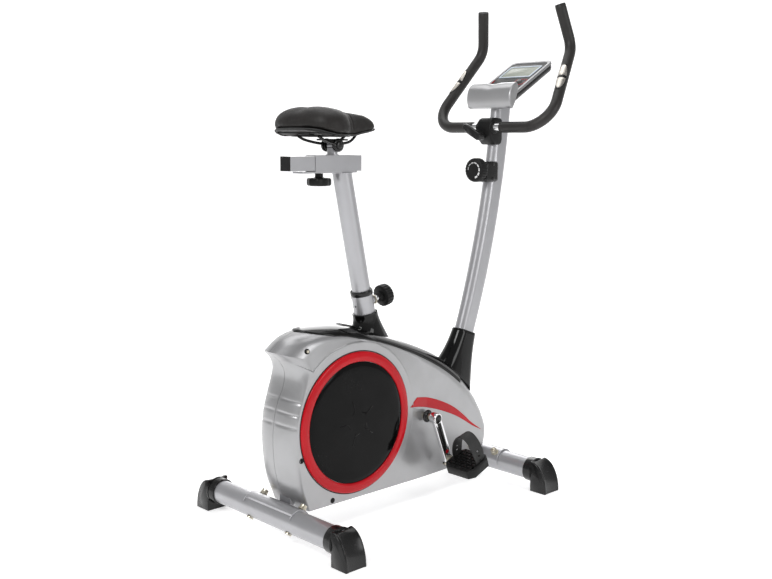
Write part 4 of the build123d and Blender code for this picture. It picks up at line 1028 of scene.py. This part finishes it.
def seat_pin_knob():
    """Ribbed pull knob of the seat post's locking pin, with its chromed spindle."""
    lean = lean_axis()
    out = Vector((lean.z, 0, -lean.x))
    base = SEAT_TUBE_TOP - lean * 33.0

    def ribs(angle, row):
        return 1.0 - (0.055 * max(0.0, math.cos(18 * angle)) ** 3 if 3 <= row <= 8 else 0.0)

    profile = [(8.6, 52.2), (13.6, 52.6), (14.0, 61.0), (25.0, 62.4), (28.0, 64.0), (28.6, 67.0), (28.6, 80.0),
               (28.0, 84.0), (26.0, 86.6), (20.0, 88.0), (12.0, 87.4), (9.0, 86.2), (0.5, 86.0)]
    knob = lathe("pin_knob_grip", profile, base, out, 144, ribs, caps=True)
    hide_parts("seat_pin_knob")
    finish_piece(knob, "pin_knob", BLACK_PLASTIC, 45)
    profile = [(4.9, 25.0), (5.0, 39.6), (7.6, 40.2), (8.2, 41.0), (8.2, 44.0), (7.4, 44.8), (7.4, 47.0),
               (8.2, 47.8), (8.2, 53.0)]
    stem = lathe("pin_knob_stem", profile, base, out, 48, caps=True)
    finish_piece(stem, "pin_knob", CHROME, 40)
    collar = lathe("pin_boss_nut", [(6.0, 35.2), (12.4, 35.2), (13.2, 36.0), (13.2, 39.0), (12.2, 39.8), (6.0, 39.8)],
                   base, out, 6)
    finish_piece(collar, "frame", ZINC, 30)


def carriage_knob():
    """Lobed clamping knob under the saddle's sleeve."""
    def lobes(angle, row):
        return 1.0 - (0.085 * (0.5 - 0.5 * math.cos(8 * angle)) if 1 <= row <= 8 else 0.0)

    profile = [(19.0, 848.2), (26.0, 848.8), (29.0, 850.6), (29.9, 853.6), (29.9, 862.0), (29.2, 865.4),
               (27.0, 867.4), (20.0, 868.0), (12.4, 868.4), (10.4, 869.4), (9.8, 872.0), (9.8, 878.6), (4.5, 878.9)]
    knob = lathe("carriage_knob_grip", profile, (-319.0, 0, 0), (0, 0, 1), 160, lobes, caps=True)
    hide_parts("slider_knob")
    finish_piece(knob, "carriage_knob", BLACK_PLASTIC, 45)


def tension_dial():
    """Ribbed dial with a raised scale on its face, and the housing round the post."""
    def ribs(angle, row):
        return 1.0 - (0.05 * max(0.0, math.cos(24 * angle)) ** 4 if 2 <= row <= 6 else 0.0)

    toward = Vector((-1, 0, 0))
    profile = [(0.5, -14.0), (31.0, -14.0), (33.0, -12.6), (33.5, -9.0), (33.5, 4.0), (32.6, 8.0), (30.6, 9.6),
               (28.0, 10.2), (27.2, 9.4), (26.4, 9.2), (12.0, 10.6), (0.5, 11.2)]
    dial = lathe("dial_grip", profile, DIAL, toward, 192, ribs, caps=True)
    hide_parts("tension_dial")
    finish_piece(dial, "dial", BLACK_PLASTIC, 40)
    marks = []
    for k in range(1, 9):
        start, stop = math.radians(214 - 33 * k), math.radians(214 - 33 * k - 24)
        low, high = 19.2, 19.8 + 0.55 * k
        steps = 6
        turns = [start + (stop - start) * i / steps for i in range(steps + 1)]
        inner_arc = [(low * math.cos(a), low * math.sin(a)) for a in turns]
        outer_arc = [(high * math.cos(a), high * math.sin(a)) for a in reversed(turns)]
        face = inner_arc + outer_arc
        base = DIAL + toward * 9.6
        ring = [base + Vector((0, -p[0], p[1])) for p in face]
        marks.append(loft("mark", [ring, [p + toward * 1.1 for p in ring]]))
    finish_piece(joined("dial_marks", marks), "dial", PRINT_WHITE)
    outline_2d = rounded_rectangle(52, 58, 9, 8)
    rings = []
    for x, scale in ((274.4, 0.90), (276.0, 0.965), (279.0, 1.0), (318.0, 1.0), (322.0, 0.97), (323.6, 0.90)):
        rings.append([Vector((x, y * scale, 873.0 + z * scale)) for y, z in outline_2d])
    body = [loft("body", rings)]
    neck = [(17.0, -20.0), (17.6, -18.2), (22.0, -17.6), (24.0, -16.2), (24.0, -15.0), (9.0, -14.6)]
    body.append(lathe("neck", neck, DIAL, toward, 64))
    for z in (858.0, 898.0):
        rounded = [(4.6, 0.0), (4.6, 1.6), (3.8, 2.2), (0.4, 2.2)]
        body.append(lathe("screw_boss", rounded, (300.0, -26.0, z - 4), (0, -1, 0), 24, caps=True))
    housing = joined("dial_housing", body)
    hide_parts("tension_housing")
    finish_piece(housing, "frame", SMOOTH_BLACK, 45)


# --- handlebar -------------------------------------------------------------------


def bar_path(side, start):
    points = [(BAR.x, side * start, BAR.z), (BAR.x, side * 219, BAR.z), (465, side * 162, 1219),
              (437, side * 140, 1334)]
    return filleted(points, (72.0, 62.0), 5.0)


def grips():
    for side_name, side in SIDES.items():
        path = bar_path(side, 50.0)
        count = len(path)
        radii = []
        for i in range(count):
            wave = 0.16 * noise.noise(path[i] * 0.035)
            radii.append(15.35 + wave)
        start = [path[0], path[0].lerp(path[1], 0.15)] + path[1:-1]
        start += [path[-2].lerp(path[-1], 0.86), path[-1]]
        ends = [13.4, 15.0] + radii[1:-1] + [15.2, 14.0]
        grip = swept(f"grip_sleeve_{side_name}", start, ends, 48)
        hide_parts(f"foam_grip_{side_name}")
        finish_piece(grip, "handlebars", FOAM, 60)
    tips = []
    for side in SIDES.values():
        path = bar_path(side, 50.0)
        along = (path[-1] - path[-2]).normalized()
        profile = [(10.5, -6.0), (14.8, -0.6), (15.1, 0.4), (14.6, 1.6), (11.0, 2.4), (0.4, 2.6)]
        tips.append(lathe("tip", profile, path[-1], along, 48, caps=True))
    piece = joined("bar_tips", tips)
    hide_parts("bar_end_caps")
    finish_piece(piece, "handlebars", RUBBER)


def pulse_pads():
    """Half-oval steel pads on each grip, on a thin raised black rim with a bar between them."""
    steel, rims = [], []
    for side in SIDES.values():
        low = Vector((BAR.x, side * 219.0, BAR.z))
        high = Vector((465.0, side * 162.0, 1219.0))
        along = (high - low).normalized()
        middle = low + along * 163.0
        facing = Vector((-1, side * 0.35, 0.25))
        facing = (facing - along * facing.dot(along)).normalized()
        across = along.cross(facing)

        def on_grip(a, b, height):
            angle = b / 15.4
            return middle + along * a + (facing * math.cos(angle) + across * math.sin(angle)) * (15.4 + height)

        rows = 13
        for half in (-1, 1):
            verts, faces = [], []
            for i in range(rows):
                a = 4.6 + 35.4 * i / (rows - 1)
                reach = 13.0 * math.sqrt(max(1 - (a / 40.6) ** 2.6, 0.0)) + 0.3
                for j in range(rows):
                    t = 2 * j / (rows - 1) - 1
                    edge = max(abs(t), abs(2 * i / (rows - 1) - 1) if i > rows // 2 or i < 2 else 0.0)
                    verts.append(on_grip(half * a, reach * t, 1.5 - 0.5 * edge ** 6))
            for i in range(rows - 1):
                for j in range(rows - 1):
                    faces.append((i * rows + j, i * rows + j + 1, (i + 1) * rows + j + 1, (i + 1) * rows + j))
            pad = new_mesh("pad", verts, faces)
            steel.append(thicken(pad, 0.7, 0.0))
        verts, faces = [], []
        turns = 72
        for scale, height in ((0.86, 0.25), (0.98, 0.9), (1.0, 1.25), (1.05, 1.35), (1.10, 1.1), (1.14, 0.1)):
            for j in range(turns):
                w = 2 * math.pi * j / turns
                verts.append(on_grip(41.0 * scale * math.cos(w), 13.4 * scale * math.sin(w), height))
        rim = new_mesh("rim", verts, rings_to_faces(6, turns))
        rims.append(thicken(rim, 0.5, 0.0))
        bar = [[on_grip(a, b, h) for a, h in ((-4.4, 0.2), (-3.7, 1.6), (3.7, 1.6), (4.4, 0.2))]
               for b in (-13.0 + 26.0 * k / 14 for k in range(15))]
        rims.append(loft("split", bar))
    pads = joined("sensor_pads", steel)
    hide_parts("pulse_sensors")
    finish_piece(pads, "handlebars", STEEL, 45)
    finish_piece(joined("sensor_rims", rims), "handlebars", SMOOTH_BLACK, 45)


def clamp_and_lever():
    """Moulded clamp whose lower edge slants, with the tightening lever."""
    outline_xz = [(290, 964), (285.6, 973), (285.2, 1000), (287, 1011), (293, 1019.5), (304, 1024), (330, 1023),
                  (336.6, 1019), (337.8, 1012), (337.6, 962), (334, 952), (326, 948.4), (306, 949)]
    rings = []
    near = [(-25.8, 4.2), (-25.2, 2.2), (-23.4, 0.5), (-21.0, 0.0)]
    for y, shrink in near + [(-y, shrink) for y, shrink in reversed(near)]:
        middle = Vector((311.5, 0, 987.0))
        ring = []
        for x, z in outline_xz:
            d = Vector((x, 0, z)) - middle
            d = d * (1 - shrink / d.length)
            ring.append(Vector((middle.x + d.x, y, middle.z + d.z)))
        rings.append(ring)
    body = [bevel(loft("clamp", rings), 2.0, 3, 24)]
    for side in SIDES.values():
        seat = [(12.8, 20.0), (17.6, 22.0), (17.8, 27.2), (16.6, 29.0), (13.0, 29.4)]
        body.append(lathe("bar_seat", seat, BAR, (0, side, 0), 48))
    clamp = joined("clamp_body", body)
    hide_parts("handlebar_clamp")
    finish_piece(clamp, "frame", BLACK_PLASTIC, 45)
    blade = spline([(2, 0, -10.5), (16, 0, -4), (34, 0, 5), (47, 0, 15), (56, 0, 26)], 16)
    other = spline([(52, 0, 34), (44, 0, 34), (30, 0, 28), (12, 0, 18), (-8, 0, 8)], 16)
    outline_yz = [(p.x, p.z) for p in blade] + [(p.x, p.z) for p in other]
    rings = []
    for x, shrink in ((-10.6, 2.6), (-9.6, 1.0), (-8.0, 0.2), (-4.6, 0.0), (-0.6, 0.0), (0.8, 0.8), (1.2, 2.0)):
        middle = Vector((24.0, 12.0))
        ring = []
        for y, z in outline_yz:
            d = Vector((y, z)) - middle
            d = d * (1 - shrink / max(d.length, 6.0))
            ring.append(LEVER + Vector((x, middle.x + d.x, middle.y + d.y)))
        rings.append(ring)
    pieces = [loft("paddle", rings)]
    profile = [(4.9, -19.4), (5.0, -16.2), (10.6, -15.8), (11.0, -14.4), (11.0, 8.0), (10.0, 10.2), (6.0, 11.0),
               (0.4, 11.0)]
    pieces.append(lathe("hub", profile, LEVER, (-1, 0, 0), 40, caps=True))
    lever = joined("lever_paddle", pieces)
    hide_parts("clamp_lever")
    finish_piece(lever, "lever", SMOOTH_BLACK, 40)


# --- console ---------------------------------------------------------------------

SLOPE = Vector((math.cos(CONSOLE_TILT), 0, math.sin(CONSOLE_TILT)))
CONSOLE_UP = Vector((-math.sin(CONSOLE_TILT), 0, math.cos(CONSOLE_TILT)))


def on_console(along, across, height):
    """Point on the console: along the slope, across to the rider's left, out of the panel."""
    return CONSOLE_LOW + SLOPE * along + Vector((0, across, 0)) + CONSOLE_UP * height


def console_slab(name, x0, x1, half, levels, corner, steps=8):
    """Rounded slab on the console, from (height, inset) levels."""
    rings = []
    for height, inset in levels:
        length, width = x1 - x0 - 2 * inset, 2 * (half - inset)
        shape = rounded_rectangle(length, width, max(corner - inset, 1.0), steps)
        rings.append([on_console((x0 + x1) / 2 + a, b, height) for a, b in shape])
    return loft(name, rings)


def console_frame(name, outer, inner, low, high, chamfer=1.6):
    """Raised frame between two rounded rectangles, each (x0, x1, half, corner)."""
    def ring(box, inset, height):
        x0, x1, half, corner = box
        shape = rounded_rectangle(x1 - x0 - 2 * inset, 2 * (half - inset), max(corner - inset, 0.8), 8)
        return [on_console((x0 + x1) / 2 + a, b, height) for a, b in shape]

    rings = [ring(outer, 0, low), ring(outer, 0, high - chamfer), ring(outer, chamfer * 0.35, high - chamfer * 0.35),
             ring(outer, chamfer, high), ring(inner, -chamfer, high),
             ring(inner, -chamfer * 0.35, high - chamfer * 0.35), ring(inner, 0, high - chamfer), ring(inner, 0, low),
             ring(outer, 0, low)]
    return loft(name, rings, caps=False)


def console():
    shell = console_slab("console_tray", 0, 216, 72.5, (
        (-29.5, 20), (-28.4, 12), (-24.5, 5.0), (-18.5, 1.4), (-12.5, 0.2), (-6.6, 0.0)), 22, 12)
    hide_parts("console_shell")
    finish_piece(shell, "frame", SMOOTH_BLACK, 60)
    bezel = console_frame("console_rim", (0, 217, 74, 20), (9, 205, 65, 12), -7.0, 0.2, 2.6)
    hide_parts("console_bezel")
    finish_piece(bezel, "frame", SILVER_PLASTIC, 60)
    panel = console_slab("console_panel", 8, 206, 66, ((-5.0, 0), (-1.6, 0), (-1.3, 0.4)), 12)
    finish_piece(panel, "frame", PANEL)
    window = console_slab("display_glass", 120, 180, 54, ((-1.4, 0), (-0.7, 0.0), (-0.4, 0.5)), 3)
    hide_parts("lcd_window")
    finish_piece(window, "frame", DISPLAY)
    frame_piece = console_frame("display_rim", (115, 184, 58.5, 5), (121, 178, 52.5, 3), -1.4, 0.5, 0.8)
    finish_piece(frame_piece, "frame", DISPLAY_RIM, 60)
    points = [on_console(a, b, -1.0) for a, b in ((104, 61.6), (58, 61.4), (40, 60.6), (22, 55.0))]
    stripe = [swept("stripe", points, 0.8, 12, caps=True)]
    for along in (64.0, 92.0):
        at = on_console(along, 60.6, -1.2)
        stripe.append(lathe("blob", [(2.6, -0.3), (2.4, 0.5), (0.3, 0.8)], at, CONSOLE_UP, 24, caps=True))
    finish_piece(joined("panel_stripe", stripe), "frame", RED_GLOSS)
    outline_piece = console_frame("button_outline", (70, 103, 20, 7), (71.6, 101.4, 18.4, 6), -1.3, -0.7, 0.2)
    for vertex in outline_piece.data.vertices:
        vertex.co.y -= 0.042
    finish_piece(outline_piece, "frame", RED_GLOSS)
    centre = on_console(86, -42, 0)
    profile = [(6.9, -2.2), (6.9, 3.6), (6.5, 4.4), (5.4, 4.9), (3.0, 4.6), (0.4, 4.5)]
    button = lathe("mode_key", profile, centre, CONSOLE_UP, 48, caps=True)
    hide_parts("mode_button")
    finish_piece(button, "button", BUTTON_GREY)


def apron():
    """Silver hump over the console's lower end, with a shallow dent near the middle of its top."""
    front = [(308, 1052), (302.6, 1066), (301.4, 1082), (304.6, 1098), (311, 1110), (321, 1118.5), (331, 1121.5)]
    profile = spline([(x, 0, z) for x, z in front], 22)
    back = [Vector((x, 0, z)) for x, z in ((337, 1117), (338, 1104), (334, 1088), (326, 1066), (316, 1049))]
    rings = []
    for k in range(49):
        t = 2 * k / 48 - 1
        y = 79.5 * math.sin(t * math.pi / 2)
        edge = 1 - max(0.0, (abs(t) - 0.80) / 0.20) ** 2 * 0.16
        dent = 3.4 * math.exp(-((y - 4) / 17.0) ** 2)
        bulge = 3.0 * math.cos(t * math.pi / 2)
        ring = []
        for n, p in enumerate(profile):
            upper = smoothstep(8, 20, n)
            q = Vector((p.x, y, p.z))
            q += Vector((-bulge * (1 - upper), 0, 0)) + Vector((0.2, 0, -1)) * dent * upper
            ring.append(q)
        ring += [Vector((p.x, y, p.z)) for p in back]
        middle = Vector((319, y, 1084))
        rings.append([middle + (p - middle) * edge for p in ring])
    piece = loft("console_apron_cover", rings)
    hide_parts("console_apron")
    finish_piece(piece, "frame", SILVER_PLASTIC, 50)


# --- saddle ----------------------------------------------------------------------

SADDLE_SIDE = [(-408, 0), (-404, 54), (-384, 97), (-346, 112), (-309, 104), (-283, 80), (-262, 57), (-226, 43),
               (-182, 34.5), (-152, 26), (-139, 13), (-135, 0)]
SADDLE_TOP = [(-414, 994), (-409, 1011), (-400, 1025), (-380, 1035), (-350, 1037), (-290, 1031), (-225, 1024),
              (-180, 1019), (-156, 1013), (-142, 1002), (-134, 989)]
SADDLE_UNDER = [(-410, 986), (-396, 983), (-372, 975), (-350, 970), (-290, 969), (-240, 970), (-190, 978),
                (-160, 983), (-130, 987)]


def height_on(curve, x):
    """Height of a drawn curve at one X."""
    for (a, za), (b, zb) in zip(curve, curve[1:]):
        if x <= b:
            return za + (zb - za) * smoothstep(a, b, x) * 0.35 + (zb - za) * 0.65 * min(max((x - a) / (b - a), 0), 1)
    return curve[-1][1]


def saddle_outline(inset, count=120):
    """Plan of the saddle as points with X and Y, drawn in by an amount."""
    half = spline([(x, y, 0) for x, y in SADDLE_SIDE], count // 2 + 1)
    loop = half[:-1] + [Vector((p.x, -p.y, 0)) for p in reversed(half[1:])]
    moved = []
    for i, p in enumerate(loop):
        d = (loop[(i + 1) % len(loop)] - loop[i - 1]).normalized()
        moved.append(p - Vector((-d.y, d.x, 0)) * inset)
    return moved


def saddle_form(inset):
    """Closed form of the pad before it is blown up."""
    plan = saddle_outline(inset)
    rings = []
    for share in (0.55, 0.12, 0.03):
        rings.append([Vector((p.x + (min(max(p.x, -340), -170) - p.x) * share, p.y * (1 - share),
                              height_on(SADDLE_UNDER, p.x) + 1.5)) for p in plan])
    steps = 16
    for k in range(steps + 1):
        phi = math.pi / 2 * k / steps
        share = 1 - math.cos(phi) ** 0.64
        rise = math.sin(phi) ** 0.66
        ring = []
        for p in plan:
            spine = min(max(p.x, -340), -170)
            x = p.x + (spine - p.x) * share
            y = p.y * (1 - share)
            low, high = height_on(SADDLE_UNDER, p.x) + 3.0, height_on(SADDLE_TOP, x) - 3.0
            dip = 2.2 * math.exp(-(y / 11.0) ** 2) * smoothstep(-400, -350, x) * (1 - smoothstep(-240, -190, x))
            ring.append(Vector((x, y, low + (high - low) * rise - dip)))
        rings.append(ring)
    return rings


def inflate(obj, voxel, cap, pressure=4.0):
    """Fills a closed form like a stuffed cover: voxel remesh, cloth with pressure, and a cap on the movement."""
    remesh = obj.modifiers.new("even_mesh", "REMESH")
    remesh.mode = "VOXEL"
    remesh.voxel_size = voxel * MM
    bpy.context.view_layer.objects.active = obj
    apply_modifiers(obj)
    start = [v.co.copy() for v in obj.data.vertices]
    cloth = obj.modifiers.new("stuffing", "CLOTH")
    cloth.settings.quality = 5
    cloth.settings.mass = 0.25
    cloth.settings.tension_stiffness = 22
    cloth.settings.compression_stiffness = 22
    cloth.settings.shear_stiffness = 8
    cloth.settings.bending_stiffness = 2.0
    cloth.settings.use_pressure = True
    cloth.settings.uniform_pressure_force = pressure
    cloth.settings.effector_weights.gravity = 0.0
    cloth.collision_settings.use_collision = False
    scene = bpy.context.scene
    for step in range(1, 21):
        scene.frame_set(step)
    graph = bpy.context.evaluated_depsgraph_get()
    blown = bpy.data.meshes.new_from_object(obj.evaluated_get(graph))
    places = [v.co.copy() for v in blown.vertices]
    bpy.data.meshes.remove(blown)
    obj.modifiers.remove(cloth)
    scene.frame_set(1)
    for vertex, before, after in zip(obj.data.vertices, start, places):
        step = after - before
        if step.length > cap * MM:
            step *= cap * MM / step.length
        vertex.co = before + step
    obj.data.update()


def apply_modifiers(obj):
    graph = bpy.context.evaluated_depsgraph_get()
    mesh = bpy.data.meshes.new_from_object(obj.evaluated_get(graph))
    obj.modifiers.clear()
    obj.data = mesh


def saddle_pad():
    source = loft("saddle_start", saddle_form(1.0))
    pad = source.copy()
    pad.data = source.data.copy()
    bpy.context.scene.collection.objects.link(pad)
    bpy.data.objects.remove(source)
    pad.name = "saddle_cushion"
    inflate(pad, 5.0, 5.0)
    soften = pad.modifiers.new("soften", "SMOOTH")
    soften.factor = 0.5
    soften.iterations = 12
    subdivide(pad, 1)
    apply_modifiers(pad)
    for vertex in pad.data.vertices:
        p = vertex.co / MM
        crease = 1.5 * math.exp(-((p.x + 249 - 0.12 * abs(p.y)) / 2.6) ** 2) * smoothstep(978, 992, p.z)
        wrinkle = 0.35 * noise.noise(p * 0.022)
        vertex.co -= vertex.normal * (crease - wrinkle) * MM
    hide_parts("saddle_pad")
    finish_piece(pad, "saddle", VINYL, None)
    return pad


def saddle_underside():
    """Black pan with its ribs, the welt where the cover is drawn in, and the two rails."""
    def level(inset, lift):
        return [Vector((p.x, p.y, height_on(SADDLE_UNDER, p.x) + lift)) for p in saddle_outline(inset)]

    rings = [level(12, 2.4), level(7.5, 2.0), level(6.5, 0.6), level(7.5, -1.4), level(10.5, -1.8), level(12.0, 0.8)]
    inner = level(12.0, 0.8)
    for share in (0.3, 0.6, 0.9):
        ring = []
        for p in inner:
            spine = min(max(p.x, -340), -170)
            ring.append(Vector((p.x + (spine - p.x) * share, p.y * (1 - share), p.z)))
        rings.append(ring)
    pieces = [loft("pan", rings)]
    for k in range(7):
        x = -378 + 30.0 * k
        reach = max(abs(p.y) for p in inner if abs(p.x - x) < 12) - 2
        z = height_on(SADDLE_UNDER, x)
        box = [(-reach, -2.2), (reach, -2.2), (reach, 1.0), (-reach, 1.0)]
        ring = [Vector((x - 1.2, a, z + b)) for a, b in box]
        pieces.append(loft("rib", [ring, [p + Vector((2.4, 0, 0)) for p in ring]]))
    pan = joined("saddle_pan", pieces)
    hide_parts("saddle_base")
    finish_piece(pan, "saddle", BLACK_PLASTIC, 45)
    edge = [Vector((p.x, p.y, height_on(SADDLE_UNDER, p.x) + 2.2)) for p in saddle_outline(6.0)]
    edge.append(edge[0].copy())
    finish_piece(swept("saddle_welt", edge, 1.4, 12, caps=False), "saddle", RUBBER, 60)
    rails = []
    for side in SIDES.values():
        route = [(-352, 38, 968), (-338, 37, 961), (-318, 30, 955), (-296, 23, 951), (-262, 22, 951),
                 (-238, 22, 956), (-222, 20, 966), (-214, 18, 974)]
        rails.append(swept("rail", spline([(x, side * y, z) for x, y, z in route], 48), 3.4, 20))
    for side in SIDES.values():
        profile = [(4.2, 0.0), (15.6, 0.3), (16.4, 1.2), (16.4, 5.4), (15.4, 6.4), (9.4, 6.6), (9.0, 9.4),
                   (8.0, 10.2), (0.4, 10.2)]
        rails.append(lathe("cheek", profile, (STUB_X, side * 18.6, PIVOT_Z + 1), (0, side, 0), 40, caps=True))
    finish_piece(joined("saddle_rails", rails), "saddle", SMOOTH_BLACK, 45)


# --- seat column details -----------------------------------------------------------


def weld(name, path, body, radius=1.6):
    """Weld bead along a path, with the ripple of its passes."""
    radii = [radius * (1 + 0.16 * math.sin(2.2 * i)) for i in range(len(path))]
    piece = swept(name, path, radii, 10, caps=False)
    return finish_piece(piece, body, SILVER_PAINT, 60)


def seat_column():
    lean = lean_axis()
    fore = Vector((lean.z, 0, -lean.x))
    floor_z = 903.0 - 19.3 - 4.0
    path = []
    for k in range(97):
        a = 2 * math.pi * k / 96
        radial = fore * math.cos(a) * 24.2 + Vector((0, 1, 0)) * math.sin(a) * 24.2
        base = SEAT_TUBE_TOP + radial
        up = (floor_z - 0.8 - base.z) / lean.z
        path.append(base + lean * up)
    weld("seat_post_weld", path, "seat_column")
    turns = [2 * math.pi * k / 72 for k in range(73)]
    stub = [Vector((STUB_X + 16.8 * math.cos(a), 16.8 * math.sin(a), 920.6)) for a in turns]
    weld("saddle_stub_weld", stub, "seat_carriage", 1.2)
    top = SEAT_TUBE_TOP
    lip = [(24.6, -1.0), (24.7, 3.4), (26.2, 5.0), (28.2, 4.6), (28.9, 3.0), (28.9, -7.0), (27.8, -8.2), (27.6, -1.0)]
    ring = lathe("seat_tube_lip", lip,
                 top, lean, 72)
    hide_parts("seat_tube_bushing")
    finish_piece(ring, "frame", SMOOTH_BLACK, 45)
    # A flat dark ring marks a hole in the tube: painted shade of the hole, with no depth behind it.
    collar = []
    at = top - lean * 33.0
    hole = [(3.4, 27.4), (4.2, 27.8), (4.4, 28.4), (3.4, 28.6)]
    collar.append(lathe("hole", hole, top - lean * 14, -fore.lerp(Vector((0, -1, 0)), 0.6), 24))
    finish_piece(joined("seat_tube_hole_shade", collar), "frame", PAINTED_SHADE)
    boss = [at + fore * 27.2 + (lean * math.cos(a) + Vector((0, 1, 0)) * math.sin(a)) * 12.6
            + fore * (-3.1 * math.sin(a) ** 2) for a in (2 * math.pi * k / 60 for k in range(61))]
    weld("pin_boss_weld", boss, "frame", 1.2)


# --- stage -------------------------------------------------------------------------


def stage():
    mesh = bpy.data.meshes.new("floor")
    size, back = 9.0, 5.5
    rings = []
    profile = [(-size, 0.0), (back - 1.6, 0.0)]
    turns = [math.pi / 2 * k / 12 for k in range(1, 13)]
    profile += [(back - 1.6 + 1.6 * math.sin(a), 1.6 - 1.6 * math.cos(a)) for a in turns]
    profile.append((back, 6.0))
    across = Vector((-math.sin(CAMERA_YAW), math.cos(CAMERA_YAW), 0))
    ahead = Vector((math.cos(CAMERA_YAW), math.sin(CAMERA_YAW), 0))
    for d, z in profile:
        rings.append([ahead * d + across * s * size + Vector((0, 0, z)) for s in (-1, -0.3, 0.3, 1)])
    verts = [tuple(p) for ring in rings for p in ring]
    mesh.from_pydata(verts, [], rings_to_faces(len(rings), 4, closed=False))
    floor = bpy.data.objects.new("floor", mesh)
    bpy.context.scene.collection.objects.link(floor)
    for poly in mesh.polygons:
        poly.use_smooth = True
    pale = material("pale_floor", grey(0.90), grey(0.92), (0.6, 0.75), patch=1.5, fine=40, specular=0.1)
    shader = pale.node_tree.nodes["Principled BSDF"]
    shader.inputs["Emission Color"].default_value = (1.0, 1.0, 1.0, 1.0)
    shader.inputs["Emission Strength"].default_value = 0.5
    floor.data.materials.append(pale)


def area_light(name, place, target, size, power, colour=(1, 1, 1)):
    light = bpy.data.lights.new(name, "AREA")
    light.shape = "RECTANGLE"
    light.size, light.size_y = size
    light.energy = power
    light.color = colour
    obj = bpy.data.objects.new(name, light)
    obj.location = place
    obj.rotation_euler = (Vector(target) - Vector(place)).to_track_quat("-Z", "Y").to_euler()
    bpy.context.scene.collection.objects.link(obj)


CAMERA_YAW = math.radians(46.2408)
CAMERA_PITCH = math.radians(8.2068)
CAMERA_ROLL = math.radians(0.3053)
CAMERA_PLACE = Vector((-1.9474, -1.9382, 0.9588))
CAMERA_LENS = 48.18


def camera():
    level = math.cos(CAMERA_PITCH)
    look = Vector((math.cos(CAMERA_YAW) * level, math.sin(CAMERA_YAW) * level, -math.sin(CAMERA_PITCH)))
    right = Vector((math.sin(CAMERA_YAW), -math.cos(CAMERA_YAW), 0))
    up = right.cross(look)
    right, up = (right * math.cos(CAMERA_ROLL) + up * math.sin(CAMERA_ROLL),
                 up * math.cos(CAMERA_ROLL) - right * math.sin(CAMERA_ROLL))
    data = bpy.data.cameras.new("camera")
    data.lens = CAMERA_LENS
    data.sensor_width = 36.0
    data.sensor_fit = "HORIZONTAL"
    obj = bpy.data.objects.new("camera", data)
    bpy.context.scene.collection.objects.link(obj)
    turn = Matrix((right, up, -look)).transposed().to_4x4()
    obj.matrix_world = Matrix.Translation(CAMERA_PLACE) @ turn
    bpy.context.scene.camera = obj


def lights():
    scene = bpy.context.scene
    world = bpy.data.worlds.new("studio")
    world.use_nodes = True
    tree = world.node_tree
    background = tree.nodes["Background"]
    coords = node(tree, "ShaderNodeTexCoord")
    axes = node(tree, "ShaderNodeSeparateXYZ")
    tree.links.new(coords.outputs["Generated"], axes.inputs["Vector"])
    fade = node(tree, "ShaderNodeValToRGB")
    fade.color_ramp.elements[0].position = 0.0
    fade.color_ramp.elements[0].color = (1.0, 1.0, 1.0, 1.0)
    fade.color_ramp.elements[1].position = 0.75
    fade.color_ramp.elements[1].color = (0.42, 0.42, 0.43, 1.0)
    tree.links.new(axes.outputs["Z"], fade.inputs["Fac"])
    tree.links.new(fade.outputs["Color"], background.inputs["Color"])
    background.inputs["Strength"].default_value = 0.55
    scene.world = world
    area_light("key", (-2.6, -0.6, 2.6), (0, 0, 0.5), (1.2, 1.2), 48)
    area_light("side", (0.6, -3.2, 1.7), (0, 0, 0.6), (1.0, 2.0), 26)
    area_light("top", (0.4, 0.6, 3.4), (0, 0, 0.6), (2.6, 2.6), 45)
    area_light("back", (2.4, 2.6, 1.8), (0, 0, 0.7), (1.4, 2.4), 30)
    scene.view_settings.view_transform = "Standard"
    scene.view_settings.look = "None"


# --- everything ----------------------------------------------------------------------


def build():
    dress_cad()
    casing()
    cranks()
    feet()
    seat_pin_knob()
    carriage_knob()
    tension_dial()
    grips()
    pulse_pads()
    clamp_and_lever()
    console()
    apron()
    saddle_pad()
    saddle_underside()
    seat_column()
    finish_piece(joined("stabilizer_nuts", dome_nuts()), "frame", ZINC, 35)
    stage()
    lights()
    camera()


build()
